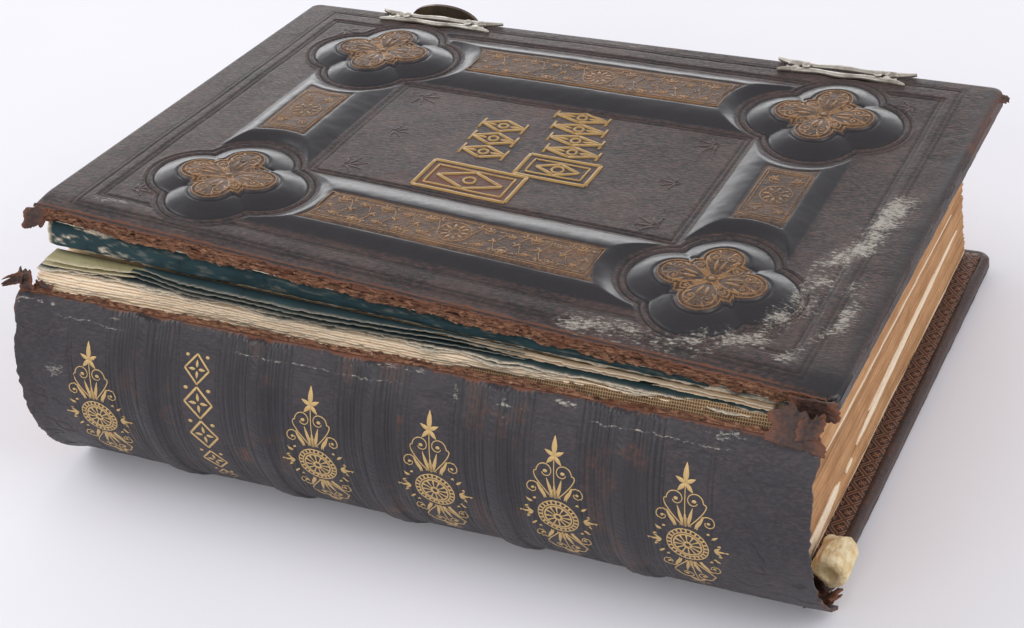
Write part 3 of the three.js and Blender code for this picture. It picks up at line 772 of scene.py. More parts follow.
class Tooling:
    """Fine lines, leaves, dots and scrolls laid on a surface given by point(x, y, lift)."""

    def __init__(self, point, lift=0.14, sunk=0.3):
        self.point = point
        self.profile = ((-1, -sunk), (-0.7, lift), (0.7, lift), (1, -sunk))
        self.strokes = []
        self.faces = []
        self.count = 0
        self.place(0, 0)

    def place(self, x, y, turn=0.0, size=1.0, mirror=1):
        """Where the next strokes are drawn: moved, turned in degrees, scaled and mirrored."""
        c, s = math.cos(math.radians(turn)), math.sin(math.radians(turn))
        self.at = np.array([x, y])
        self.matrix = size * np.array([[mirror * c, mirror * s], [-s, c]])
        self.size = size

    def stroke(self, path, width, closed=False):
        path = np.asarray(path, float) @ self.matrix + self.at
        width = np.broadcast_to(np.asarray(width, float) * self.size, len(path))
        along = np.roll(path, -1, 0) - np.roll(path, 1, 0) if closed else np.gradient(path, axis=0)
        along /= np.maximum(np.linalg.norm(along, axis=1, keepdims=True), 1e-6)
        side = np.stack([-along[:, 1], along[:, 0]], 1) * width[:, None] / 2
        level = np.ones(len(path))
        ring = np.stack([np.column_stack([path + side * s, level * lift]) for s, lift in self.profile], 1)
        steps, sides = ring.shape[:2]
        i, k = np.meshgrid(np.arange(steps if closed else steps - 1), np.arange(sides), indexing="ij")
        a, b = i * sides + k, i * sides + (k + 1) % sides
        c, d = (i + 1) % steps * sides + (k + 1) % sides, (i + 1) % steps * sides + k
        faces = np.stack([a, d, c, b], -1).reshape(-1, 4) + self.count
        self.faces += faces.tolist()
        if not closed:
            self.faces.append([self.count + k for k in range(sides)])
            self.faces.append([self.count + steps * sides - 1 - k for k in range(sides)])
        self.strokes.append(ring.reshape(-1, 3))
        self.count += steps * sides

    def line(self, points, width):
        """Straight lines through the points, with close steps so that they follow the surface."""
        for (x0, y0), (x1, y1) in zip(points, points[1:]):
            steps = max(2, int(math.hypot(x1 - x0, y1 - y0) / 2.5) + 1)
            t = np.linspace(0, 1, steps)
            self.stroke(np.column_stack([blend(x0, x1, t), blend(y0, y1, t)]), width)

    def frame(self, half_x, half_y, width):
        around = ((-1, -1), (1, -1), (1, 1), (-1, 1), (-1, -1))
        self.line([(x * half_x, y * half_y) for x, y in around], width)

    def diamond(self, half_x, half_y, width):
        self.line([(-half_x, 0), (0, half_y), (half_x, 0), (0, -half_y), (-half_x, 0)], width)

    def ring(self, x, y, radius, width, steps=18):
        out_x, out_y = polar(radius, np.linspace(0, 360, steps, endpoint=False))
        self.stroke(np.column_stack([x + out_x, y + out_y]), width, closed=True)

    def dot(self, x, y, radius):
        across = radius * np.cos(np.linspace(math.pi, 0, 7))
        width = 2 * np.sqrt(np.clip(radius**2 - across**2, 0.01 * radius**2, None))
        self.stroke(np.column_stack([x + across, np.full(7, y)]), width)

    def leaf(self, x, y, turn, length, width):
        """A pointed leaf growing from (x, y) towards a direction in degrees."""
        t = np.linspace(0, 1, 7)
        path = np.array([x, y]) + t[:, None] * np.array(polar(length, turn))
        self.stroke(path, width * np.clip(np.sin(math.pi * t**0.8) ** 0.9, 0.08, None))

    def scroll(self, start, bend, centre, loop, width, hand, turns):
        """A stem from start by way of bend, curling round a ball at the centre."""
        t = np.linspace(0, 1, 12)[:, None]
        first = np.arctan2(bend[1] - centre[1], bend[0] - centre[0])
        meet = np.array(centre) + loop * np.array([math.cos(first), math.sin(first)])
        start, bend = np.array(start), np.array(bend)
        stem = (1 - t) ** 2 * start + 2 * t * (1 - t) * bend + t * t * meet
        t = np.linspace(0.04, 1, 20)
        turn = first + hand * 2 * math.pi * turns * t
        radius = loop * (1 - 0.62 * t)
        curl = np.column_stack([centre[0] + radius * np.cos(turn), centre[1] + radius * np.sin(turn)])
        whole = np.concatenate([stem, curl])
        self.stroke(whole, width * np.linspace(1.15, 0.75, len(whole)))
        self.dot(*centre, loop * 0.24)

    def finish(self, name, material, body, slot, fade=None, stands_for=None):
        flat = np.concatenate(self.strokes)
        points = self.point(flat[:, 0], flat[:, 1], flat[:, 2])
        fields = {"worn": fade(flat[:, 0], flat[:, 1]) if fade else np.zeros(len(flat))}
        piece = make_mesh(name, points, self.faces, fields)
        dress(piece, material, body, stands_for)


def gilt_material(name, gold, rubbed, loss):
    """Gold leaf rubbed through to the leather here and there."""
    s = Shader(name)
    fine = s.noise(0.9, 4, 0.7)
    patch = s.noise(7, 3, 0.6)
    gone = s.plus(s.plus(s.times(fine, 0.5), s.times(patch, 0.5)), s.field("worn"))
    share = s.step(gone, loss, loss + 0.22)
    s.set(Base_Color=s.mix(share, brown(*gold), brown(*rubbed)))
    s.set(Roughness=s.step(fine, 0.2, 0.8, 0.34, 0.55))
    s.set(Metallic=s.blend(share, 0.35, 0.0), Normal=s.bump(fine, 0.05, 0.6))
    return s.material


def star(tool, y):
    """The five-leaved finial at the top of a spine ornament."""
    tool.leaf(0, y, 90, 7.6, 2.7)
    for turn in (28, 152):
        tool.leaf(0, y, turn, 4.2, 2.0)
    for turn in (-48, 228):
        tool.leaf(0, y, turn, 4.4, 2.1)


def wheel(tool):
    """The beaded wheel in the middle of a spine ornament."""
    tool.ring(0, 0, 7.8, 0.5, 40)
    tool.ring(0, 0, 6.1, 0.55, 36)
    tool.ring(0, 0, 5.2, 0.75, 30)
    spokes, petals = (24, (6.2, 7.0, 7.7), 0.85), (12, (1.8, 3.4, 5.0), (0.5, 0.55, 1.1))
    for count, radii, width in (spokes, petals):
        for i in range(count):
            tool.stroke([polar(radius, 360 * i / count) for radius in radii], width)
    tool.ring(0, 0, 1.4, 1.1, 14)


def spine_plume(tool, x, y, size, flip):
    """The half of a spine ornament above its wheel: stem, scrolls, leaves and star."""
    for mirror in (1, -1):
        tool.place(x, y, 0 if flip > 0 else 180, size, mirror * flip)
        tool.scroll((1.2, 9.4), (10.6, 19.5), (3.4, 20.2), 3.5, 0.5, 1, 0.95)
        tool.scroll((4.2, 8.6), (6.3, 15.6), (8.6, 12.2), 2.9, 0.5, -1, 0.9)
        tool.leaf(0.9, 9.6, 76, 8.2, 1.7)
        tool.leaf(3.4, 8.8, 58, 6.6, 2.0)
        for fan in range(3):
            tool.line([(0.5 + 0.8 * fan, 9.2), (0.2 + 0.5 * fan, 14.5 - 1.5 * fan)], 0.28)
        tool.leaf(9.4, 5.2, 35, 3.0, 1.3)
        tool.dot(8.3, 7.4, 0.6)
        for turn in (-38, 0, 38):
            tool.leaf(10.0, 0, turn, 4.4 - abs(turn) / 30, 1.2)
        for side in (2.7, -2.7):
            tool.dot(12.2, side, 0.55)
        tool.dot(14.9, 0, 0.45)
    tool.place(x, y, 0 if flip > 0 else 180, size, flip)
    tool.line([(0, 9), (0, 27)], 0.45)
    star(tool, 26.6)


def make_spine_gilding():
    gold = gilt_material("bright_gilt", (198, 166, 112), (84, 66, 56), 0.6)
    tool = Tooling(spine.point, 0.13)
    wheel_v = -7.7
    for index, x in enumerate(spine.panels):
        if index == 1:
            spine_title_panel(tool, x)
            continue
        spine_plume(tool, x, wheel_v, 1.0, 1)
        spine_plume(tool, x, wheel_v, 0.98, -1)
        tool.place(x, wheel_v)
        wheel(tool)

    # The gold turns to dull brown towards the bottom of the spine's curve.
    def dimmer_low(x, v):
        return 0.42 * smooth(-v, 26, 40) + 0.06 * noise_over(x, v, 8, 71)

    tool.finish("spine_gilding", gold, "text_block", "cover_leather", dimmer_low)


def spine_title_panel(tool, x):
    """A plain chain of lozenges and rings where the title stood."""
    for v, size in ((24, 1.0), (10, 1.15), (-5, 1.15), (-20, 1.0), (-33, 0.8)):
        tool.place(x, v, 0, size)
        tool.line([(0, -6), (5.4, 0), (0, 6), (-5.4, 0), (0, -6)], 1.0)
        for turn in (0, 90, 180, 270):
            tool.leaf(*polar(0.7, turn), turn, 3.0, 1.5)
        for side in (-1, 1):
            tool.dot(side * 4.4, 5.2, 0.8)


def rinceau(tool, x, y, length, height, mirror_x):
    """A running vine: scrolls above and below in turn, with leaves along the stem."""
    cells = max(2, int(round(length / (height * 0.62))))
    pitch = length / cells
    for i in range(cells):
        up = 1 if i % 2 == 0 else -1
        for row, size in ((1, 1.0), (-1, 0.72)):
            side = up * row
            tool.place(x + mirror_x * pitch * (i + 0.5), y + side * height * 0.12, 0, size, mirror_x)
            reach = height * 0.21 * side
            start, bend = (-pitch * 0.6, -reach * 0.7), (-pitch * 0.35, reach * 1.7)
            tool.scroll(start, bend, (0, reach), height * 0.17, 0.42, -side, 1.2)
            for turn in (20, 65, 110, 160):
                tool.leaf(0.2, reach, side * turn, height * 0.22, 0.9)
            tool.leaf(pitch * 0.28, -reach * 0.2, -side * 40, height * 0.24, 1.1)
            tool.leaf(-pitch * 0.42, reach * 1.3, side * 100, height * 0.16, 0.8)
    for i in range(cells + 1):
        for side in (-1, 1):
            tool.place(x + mirror_x * pitch * i, y + side * height * 0.36, 0, 1, mirror_x)
            tool.leaf(0, 0, 90 * side - 30, height * 0.1, 0.7)
            tool.leaf(0, 0, 90 * side + 30, height * 0.1, 0.7)
            tool.dot(pitch * 0.3, side * 0.6, 0.35)


def rosette(tool, x, y, radius, petals=8):
    """A ringed flower in the middle of a strip."""
    tool.place(x, y)
    tool.ring(0, 0, radius, 0.5, 28)
    tool.ring(0, 0, radius * 0.32, 0.45, 14)
    for i in range(petals):
        turn = 360 * i / petals
        tool.leaf(*polar(radius * 0.4, turn), turn, radius * 0.5, radius * 0.26)
        tool.dot(*polar(radius * 0.86, turn + 22), radius * 0.06)


def patchy(depth, size, seed):
    """How much more or less the gold has worn from place to place, in patches of that size."""
    def worn(x, y):
        return depth * noise_over(x, y, size, seed)
    return worn


def make_cover_gilding():
    dull = gilt_material("rubbed_gilt", (142, 104, 62), (76, 54, 40), 0.45)
    tool = Tooling(cover_point, 0.12)
    for side in (-1, 1):
        length, place, half = long_strip
        y = side * place
        tool.place(0, y)
        tool.frame(length + 2.2, half - 1.9, 0.45)
        tool.frame(length + 0.9, half - 3.1, 0.3)
        rosette(tool, 0, y, 6.6, 10)
        for way in (-1, 1):
            rinceau(tool, way * 7.6, y, length - 8.2, 2 * half - 7.4, way)
    for side in (-1, 1):
        length, place, half = short_strip
        x = side * place
        tool.place(x, 0)
        tool.frame(half - 1.9, length - 0.8, 0.45)
        tool.frame(half - 3.1, length - 2.0, 0.3)
        rosette(tool, x, 0, 6.2)
        for end, way in corners:
            tool.place(x + end * 4.6, way * 11.2, 90 * (1 - way), 0.8, end * way)
            tool.scroll((-3.5, -3.5), (2.4, -3.2), (0, 0), 2.5, 0.45, 1, 1.2)
            for turn in (10, 60, 110, 200):
                tool.leaf(0, 0, turn, 3.4, 1.0)
    for end, way in corners:
        arabesque(tool, end * boss_centre[0], way * boss_centre[1])
    tool.finish("cover_gilding", dull, "front_board", "cover_leather", patchy(0.12, 14, 73))


def arabesque(tool, x, y):
    """The four-way scrollwork in the middle of a boss."""
    turn = np.linspace(0, 360, 120, endpoint=False)
    reach = np.linspace(8, 24, 320)[None, :]
    room = medallion(*polar(reach, turn[:, None]))
    for inset, width in ((1.2, 0.55), (2.9, 0.35)):
        edge = np.where(room > inset, reach, 0).max(1)
        tool.place(x, y)
        tool.stroke(np.column_stack(polar(edge, turn)), width, closed=True)
    for quarter in range(4):
        for mirror in (1, -1):
            tool.place(x, y, 90 * quarter, 1, mirror)
            tool.scroll((0.6, 2.0), (7.4, 10.0), (3.2, 13.4), 2.6, 0.6, 1, 1.1)
            tool.scroll((1.5, 3.0), (10.2, 4.8), (7.0, 7.4), 2.4, 0.55, 1, 1.1)
            tool.leaf(0.9, 5.4, 82, 6.4, 1.6)
            tool.leaf(3.8, 9.4, 50, 4.6, 1.4)
            tool.leaf(2.0, 15.6, 60, 3.6, 1.2)
            tool.leaf(1.0, 1.6, 45, 6.0, 1.7)
            tool.leaf(6.6, 10.6, 20, 2.6, 1.0)
            tool.dot(0, 11.2, 0.9)
            tool.dot(0, 17.6, 0.7)
    tool.place(x, y)
    tool.ring(0, 0, 2.6, 0.6, 16)
    tool.dot(0, 0, 1.2)


def make_cover_title():
    """Plain gilt ornament where the title stood: two framed blocks, each with a column of knots."""
    gold = gilt_material("title_gilt", (160, 126, 68), (90, 64, 44), 0.55)
    tool = Tooling(cover_point, 0.3, 0.4)
    for x, y, half_x, half_y in ((-14.3, -27, 20, 10.6), (14.3, -6.5, 15.2, 8.4)):
        tool.place(x, y)
        tool.frame(half_x, half_y, 2.1)
        tool.frame(half_x - 3.4, half_y - 3.2, 1.0)
        tool.diamond(half_x - 6, half_y - 4, 1.8)
        tool.ring(0, 0, 2.4, 1.2)
    knots = ((-19.5, -3.5, -1.0, 11.6, 3, 9.4), (14.0, 8.5, -2.6, 9.4, 4, 11.4))
    for x, y, drift, pitch, count, half in knots:
        for step in range(count):
            tool.place(x + drift * step, y + pitch * step)
            tool.diamond(half, pitch * 0.42, 1.9)
            tool.ring(0, 0, 1.9, 1.3, 16)
            for side in (-1, 1):
                tool.leaf(side * 3.0, 0, 90 - side * 90, half - 4.6, 1.9)
                tool.line([(side * half, -pitch * 0.36), (side * half, pitch * 0.36)], 1.2)
    tool.finish("title_ornament", gold, "front_board", "cover_leather", patchy(0.14, 6, 74))


def make_blind_stamps():
    """Small sprays pressed without gold at the corners of the panel and the frame."""
    s = Shader("blind_tooling")
    s.set(Base_Color=s.mix(s.noise(1.2, 3), brown(50, 38, 36), brown(74, 54, 46)), Roughness=0.5)
    s.set(Normal=s.bump(s.noise(0.6, 2), 0.1))
    tool = Tooling(cover_point, 0.16, 0.3)
    spots = [(x * 66, y * 33, 1.0) for x, y in corners] + [(x * 62, 0, 0.8) for x in (-1, 1)]
    spots += [(x * 131, y * 84, 0.9) for x, y in corners]
    for x, y, size in spots:
        toward = math.degrees(math.atan2(-y, -x))
        for way in range(-2, 3):
            tool.place(x, y, toward + 38 * way, size)
            tool.leaf(0.8, 0, 0, 6.6 - abs(way), 1.5)
            tool.dot(8.2 - abs(way), 0, 0.6)
        tool.place(x, y, 0, size)
        tool.ring(0, 0, 1.5, 0.6, 12)
    tool.finish("blind_stamps", s.material, "front_board", "cover_leather")


make_spine_gilding()
make_cover_gilding()
make_cover_title()
make_blind_stamps()


# ---------------------------------------------------------------- boards


def turned_edge(hang, depth, radius, inset, skin):
    """Where leather lies as it passes over a board's edge: how far in from the edge, and how far down."""
    share = [0, 0.12, 0.5, 0.6, 0.7, 1]
    inward = [skin, skin, skin, skin + 0.6, skin + 1.8, inset]
    foot = depth - skin
    down = [radius + 0.3 * skin, radius + skin, foot - 1.8, foot - 0.6, foot, foot]
    return np.interp(hang, share, inward), np.interp(hang, share, down)


def pull_in(places, low, high, inset, from_low=True):
    """Moves places towards the middle of a side by an inset, keeping their order."""
    length = high - low
    share = (places - low) / length
    start = inset if from_low else 0 * inset
    return low + start + share * (length - inset - start)


def leather_skin(name, plate, face, open_spine, fields_at, turn_in):
    """One skin of leather over a board, turned over its edges and a little way along its inner face.

    The face is 1 where the outer side looks up and -1 where it looks down.
    """
    skin, radius, depth, rings = 1.2, 2.4, 8.2, 20
    x, y, edge, hang = plan(plate.low, plate.high, 0.62, 5.0, rings, open_spine)
    on_top = hang == 0
    far = y - plate.low[1]
    if open_spine:
        tear = 1.1 + 1.3 * noise_along(x, 9, 11, 4) + 0.6 * noise_along(x, 2.2, 12, 2)
        y = y + tear * (1 - smooth(far, 0, 9)) * on_top
    centre = (plate.low + plate.high) / 2
    local_x, local_y = x - centre[0], y - centre[1]
    height, fields = fields_at(local_x, local_y, edge, far, on_top)
    height = height * smooth(edge, 1, 6) * on_top
    if open_spine:
        height = height - 1.3 * (1 - smooth(far, 0, 14)) * on_top
    surface = plate.over if face > 0 else plate.under
    sheets = []
    for thickness in (0.0, skin):
        inward, down = turned_edge(hang, depth, radius, turn_in, thickness)
        lump = 0.3 * noise(x / 11 + y / 9, hang * 5, 21, 3) * (hang > 0)
        inset = np.where(on_top, thickness, inward + lump)
        px = pull_in(x, plate.low[0], plate.high[0], inset)
        py = pull_in(y, plate.low[1], plate.high[1], inset, not open_spine)
        fall = np.where(on_top, rounding(edge, radius), down)
        if thickness:
            flat = thickness + 0.25 + (1.3 * (1 - smooth(far, 0, 14)) if open_spine else 0)
            fall = np.where(on_top, np.maximum(flat, rounding(edge, radius) + 0.2), down)
        rise = height - fall if thickness == 0 else -fall
        sheets.append(stacked(px, py, surface(px, py) + face * rise))
    if face < 0:
        sheets = [s[:, ::-1] for s in sheets]
        fields = {k: v[:, ::-1] for k, v in fields.items()}
    return slab(name, *sheets, fields)


def front_fields(x, y, edge, far, on_top):
    """The embossed face: rubbed at its edges and inside the first title block, with bloom."""
    height, polish, gilt, groove = cover_relief(x, y)
    ring = quatrefoil(np.abs(x) - boss_centre[0], np.abs(y) - boss_centre[1])
    tail_side = smooth(x, half_length - 9, half_length - 2)
    worn = np.where(on_top, 0.75 * (1 - smooth(edge, 0, 3.2)), 0.35) * (1 - 0.75 * tail_side)
    worn = np.maximum(worn, 0.95 * (1 - smooth(far, 1, 5)))
    worn = worn + 0.35 * smooth(noise_over(x, y, 20, 31, 3), 0.0, 0.6) * (rectangle(x, y, inner_panel) < 0)
    worn = worn + 0.6 * (1 - smooth(rectangle(x + 14.3, y + 27, (18.5, 9.1)), -0.5, 0.5))
    worn = worn + 0.2 * smooth(noise_over(x, y, 12, 32, 3), 0.1, 0.6)
    worn = worn + 0.22 * hump(ring + 1.0, 1.2) + 0.4 * tail_side * smooth(y, 30, 80)
    corner = smooth(x, 128, 158) * smooth(-y, 78, 108)
    polish = np.maximum(polish * on_top, corner * (0.8 + 0.2 * on_top))
    polish = np.maximum(polish, 0.7 * tail_side * smooth(edge, 0, 2) * on_top)
    worn = worn * (1 - 0.6 * corner)
    fields = leather_fields(x, polish, gilt * on_top, worn, white_bloom(x, y) * on_top, groove * on_top)
    return height + cover_sag(x, y), fields


def back_fields(x, y, edge, far, on_top):
    """The outer face of the back board: blind fillets only, rubbed where the book has stood on it."""
    lines = 0
    for half in (*fillets, inner_panel, (77, 41.9)):
        lines = np.maximum(lines, hump(rectangle(x, y, half), 0.85))
    rub = smooth(noise_over(x, y, 22, 33, 4), -0.1, 0.6)
    worn = np.where(on_top, 0.8 * (1 - smooth(edge, 0, 3.5)) + 0.3 * rub, 0.4)
    # The sunk fillets darken in colour: partly dirt, partly painted shade in the recess.
    return -0.5 * lines - 0.1, leather_fields(x, 0.4 * (1 - on_top), worn=worn, groove=0.8 * lines * on_top)


def make_front_cover():
    piece = leather_skin("embossed_cover", cover, 1, True, front_fields, 7.0)
    dress(piece, leather_material(), "front_board", "front_cover_leather")


def make_back_cover():
    piece = leather_skin("back_cover", back, -1, False, back_fields, 3.2)
    material = leather_material("back_leather", (34, 26, 26), (88, 60, 48))
    dress(piece, material, "back_board", "back_cover_leather")


def board_material():
    """Torn pasteboard and the rough side of leather: matted red-brown fibres."""
    s = Shader("torn_board")
    mat = s.noise(1.5, 4, 0.75, (0.45, 1, 1.6), warp=0.6)
    patch = s.noise(8, 4, 0.65)
    base = s.mix(s.step(mat, 0.35, 0.68), brown(58, 38, 30), brown(156, 112, 86))
    base = s.mix(s.step(patch, 0.46, 0.7, 0, 0.8), base, brown(92, 56, 40))
    base = s.mix(s.step(s.noise(3.2, 5, 0.7), 0.62, 0.74, 0, 0.75), base, brown(196, 172, 148))
    s.set(Base_Color=base, Roughness=0.93, Normal=s.bump(mat, 0.7, 1.0, s.bump(s.noise(0.5, 3), 0.2)))
    s.set(Specular_IOR_Level=0.2)
    return s.material


def lattice_material():
    """A printed lining paper: a diamond lattice of double lines with a dotted floret in each."""
    s = Shader("lattice_paper")
    split = s.nodes.new("ShaderNodeSeparateXYZ")
    s.put(split.inputs[0], s.place)
    x, y = split.outputs[0], split.outputs[1]
    repeat = 9.0
    u = s.math("DIVIDE", s.plus(x, y), repeat)
    v = s.math("DIVIDE", s.minus(x, y), repeat)
    off = [s.absolute(s.minus(s.math("FRACT", w), 0.5)) for w in (u, v)]
    edge = s.minus(0.5, s.most(off[0], off[1]))
    rail = s.absolute(s.minus(edge, 0.1))
    lines = s.most(s.step(rail, 0.042, 0.022), s.step(edge, 0.02, 0.008, 0, 0.5))
    reach = s.math("SQRT", s.plus(s.times(off[0], off[0]), s.times(off[1], off[1])))
    arms = s.math("MINIMUM", off[0], off[1])
    floret = s.times(s.step(arms, 0.06, 0.03), s.step(reach, 0.27, 0.23))
    dots = s.step(s.absolute(s.minus(reach, 0.2)), 0.05, 0.02)
    dots = s.times(dots, s.step(s.absolute(s.minus(off[0], off[1])), 0.06, 0.03))
    pattern = s.most(lines, s.most(floret, dots))
    fibre = s.noise(1.2, 4, 0.7)
    pattern = s.times(pattern, s.step(fibre, 0.3, 0.6, 0.55, 1.0))
    ground = s.mix(s.noise(14, 4), brown(42, 25, 21), brown(60, 36, 28))
    s.set(Base_Color=s.mix(pattern, ground, brown(148, 100, 70)))
    s.set(Roughness=s.step(fibre, 0.2, 0.8, 0.5, 0.75))
    s.set(Normal=s.bump(s.plus(pattern, fibre), 0.12, 0.7))
    return s.material


def make_board_linings():
    """The pasteboard, the lattice lining of the back board and the parts seen at torn edges."""
    torn, lattice = board_material(), lattice_material()
    front, rear, pattern = "front_board", "back_board", "pattern_paper"
    paper_block("front_board_core", front, torn, front, 12, 1.3, 0.4, 1.3, inset=1.2)
    paper_block("back_board_core", rear, torn, rear, 4, inset=1.2)
    paper_block("back_board_lining", "back_pastedown", lattice, rear, 1, ragged=0.1, inset=1.6)
    paper_block("back_endpaper", "back_free_endpaper", lattice, "text_block", 1, ragged=0.3)
    frame["nodes"]["spine_card"].data.materials[0] = torn
    for i in range(1, 6):
        frame["nodes"][f"raised_band_{i}"].data.materials[0] = torn


make_front_cover()
make_back_cover()
make_board_linings()


# ---------------------------------------------------------------- torn edges, folds and scraps


class Heap:
    """Several small closed sheets gathered into one piece."""

    def __init__(self):
        self.points, self.faces, self.torn, self.count = [], [], [], 0

    def add(self, outer, inner, torn):
        rows, columns = outer.shape[:2]
        self.faces += (sheet_faces(rows, columns) + self.count).tolist()
        self.points += [outer.reshape(-1, 3), inner.reshape(-1, 3)]
        self.torn += [torn.ravel(), torn.ravel()]
        self.count += 2 * rows * columns

    def finish(self, name, material, body, slot):
        torn = np.concatenate(self.torn)
        piece = make_mesh(name, np.concatenate(self.points), self.faces, {"torn": torn, "worn": torn})
        dress(piece, material, body)


def torn_strip(heap, line, across, out, x, width, seed):
    """A ragged strip along x, which hangs from a line of points in the across direction."""
    rows = 8
    t = np.linspace(0, 1, rows)[None, :]
    rip = 0.6 * noise(x / 12, 0 * x + seed, seed, 4) + 0.35 * noise_along(x, 1.7, seed + 1, 2)
    reach = width * np.clip(0.75 + rip, 0.08, None)
    crumple = 0.5 * noise(x / 3, t * 3 + seed, seed + 2, 3) * t + 0.35 * t * t * width * 0.3
    outer = line + (reach * t)[..., None] * across + (crumple + 0.3)[..., None] * out
    heap.add(outer, outer - 0.5 * (1 - 0.7 * t)[..., None] * out, t + 0 * x)


def board_edge(x, y_shift, z_shift):
    """The spine edge of the front board's upper face."""
    y = cover.low[1] + y_shift
    return stacked(x, y, cover.over(x, y) + z_shift)


def scrap(heap, at, u_axis, v_axis, size, seed, curl, thickness=0.6):
    """A torn scrap: a small ragged sheet from a place, along two directions, curling as it goes."""
    u_axis, v_axis = np.array(u_axis, float), np.array(v_axis, float)
    u_axis, v_axis = u_axis / np.linalg.norm(u_axis), v_axis / np.linalg.norm(v_axis)
    normal = np.cross(u_axis, v_axis)
    s, t = np.meshgrid(np.linspace(-1, 1, 26), np.linspace(0, 1, 22), indexing="ij")
    ragged = 1 + 0.3 * noise(t * 5 + seed, 0 * t, seed, 4)
    reach = t * (1 + 0.35 * noise(s * 3 + seed, 0 * s, seed + 1, 4))
    lift = curl * size[1] * reach**2 + 0.09 * size[1] * noise(s * 2.4, t * 3, seed + 2, 3)
    sideways, forward = s * ragged * size[0] / 2, reach * size[1]
    place = np.array(at) + sideways[..., None] * u_axis + forward[..., None] * v_axis
    outer = place + lift[..., None] * normal
    heap.add(outer, outer - thickness * normal, 0.45 + 0.5 * np.abs(s) ** 3)


def make_torn_edges(torn, leather):
    """Fibrous strips where the leather of the joint has torn from the front board and the spine."""
    x = np.linspace(cover.low[0] + 1.5, cover.high[0] - 4, 460)[:, None]
    down, outward = np.array([0, -0.25, -1.0]), np.array([0, -1.0, 0.25])
    heap = Heap()
    torn_strip(heap, board_edge(x, 1.4, -1.6), down, outward, x, 4.0, 81)
    torn_strip(heap, board_edge(x, 1.0, -4.2), down, outward, x, 3.0, 87)
    heap.finish("torn_joint_of_board", torn, "front_board", "pasteboard")
    heap = Heap()
    down, outward = np.array([0, -0.9, -0.5]), np.array([0, -0.5, 0.9])
    torn_strip(heap, board_edge(x, 1.8, -0.9), down, outward, x, 1.9, 92)
    corner = board_edge(np.array(cover.low[0] + 3.0), 1.0, -2.0)
    scrap(heap, corner, (1, 0.3, 0), (-0.3, -0.5, -1), (9, 8.5), 95, 0.25, 1.4)
    corner = board_edge(np.array(cover.high[0] - 8.0), -0.6, -1.2)
    scrap(heap, corner, (1, 0, 0), (0.1, -0.1, -1), (17, 8.0), 98, -0.1, 1.0)
    flake = np.array([cover.high[0] - 1, cover.high[1] - 6, cover.over(cover.high[0], cover.high[1]) - 2.0])
    scrap(heap, flake, (0.2, 1, 0), (1, 0.2, -0.2), (5, 3.4), 97, 0.3)
    heap.finish("torn_leather_of_board", leather, "front_board", "cover_leather")

    x = np.linspace(spine.low[0] + 3, spine.high[0] - 12, 460)[:, None]
    upward, outward = np.array([0, 0.55, 0.83]), np.array([0, -0.83, 0.55])
    heap = Heap()
    for v, width, seed in ((-1.2, 2.6, 101), (-0.6, 1.8, 105)):
        torn_strip(heap, spine.bare(x, spine.top + v, -0.6), upward, outward, x, width, seed)
    heap.finish("torn_joint_of_spine", torn, "text_block", "pasteboard")

    heap = Heap()
    head = spine.bare(np.array(spine.low[0] + 4), spine.top - 1.0, 0.2)
    scrap(heap, head, (1, -0.15, 0.2), (-0.35, -0.1, 1), (7.5, 6.5), 111, -0.5, 1.0)
    scrap(heap, head + np.array([-1.5, 0, 4.5]), (0.5, 0, 1), (-1, -0.1, 0.35), (5.5, 5.0), 113, 0.9, 1.1)
    scrap(heap, head + np.array([6, 1, -0.5]), (1, 0, 0), (0.2, 0.2, 1), (8, 3.6), 115, -0.3, 0.8)
    tail = spine.bare(np.array(spine.high[0] - 9), spine.top - 4.5, 0.5)
    scrap(heap, tail, (1, 0, -0.15), (-0.1, 0.45, 1), (18, 12), 117, -0.16, 1.2)
    scrap(heap, tail + np.array([4, 1, 4]), (1, 0.3, 0.1), (0.2, 0.7, 0.9), (9, 8), 119, 0.3, 0.9)
    low = spine.bare(np.array(spine.high[0] - 6), spine.bottom + 12, -2.5)
    scrap(heap, low, (1, 0.1, 0.5), (0.35, 0.95, -0.2), (10, 9), 121, 0.12, 1.0)
    scrap(heap, low + np.array([1, 3, -4]), (1, 0.3, 0.2), (0.3, 0.9, 0.2), (6, 6), 123, -0.2, 0.8)
    heap.finish("torn_caps_of_spine", leather, "text_block", "cover_leather")


def make_endpaper_fold(teal):
    """The teal endpaper where it turns down from the front board, torn from the leaf it lies on."""
    lining, leaf = Plate("front_pastedown"), Plate("front_free_endpaper")
    x = np.linspace(leaf.low[0] + 1, 118, 260)[:, None]
    turn = np.linspace(0.02, math.pi - 0.02, 30)[None, :]
    y0 = leaf.low[1] + 2.0
    floor = leaf.over(x, y0) + 0.1
    room = np.clip(lining.under(x, y0) - 0.3 - floor, 0.9, None)
    bulge = np.minimum(3.4, 0.62 * room) + 0.9 * noise(x / 19, turn / 2, 131, 4)
    slump = 1 + 0.2 * noise_along(x, 22, 132, 2) + 0.5 * smooth(turn, 1.6, 2.6) * (1 - smooth(x, -120, 0))
    centre, half = floor + room / 2, room / 2 - 0.25
    wrinkle = 0.45 * noise(x / 6, turn * 2, 133, 4)
    sheets = []
    for inset in (0.0, 0.55):
        y = y0 - np.clip((bulge + wrinkle) * slump - inset, 0.1, None) * np.sin(turn) ** 0.7
        sheets.append(stacked(x, y, centre + np.clip(half - inset, 0.12, None) * np.cos(turn)))
    heap = Heap()
    scuffs = smooth(noise(x / 5, turn * 2.5, 134, 4), 0.1, 0.5) * (0.1 + 0.9 * (1 - smooth(x, -146, -110)))
    heap.add(sheets[0], sheets[1], np.clip(np.clip(1 - (x - x[0]) / 1.5, 0, 1) + scuffs, 0, 1))
    heap.finish("endpaper_fold", teal, "front_board", "teal_paper")


lower, upper = Plate("loose_section_1"), Plate("loose_section_2")


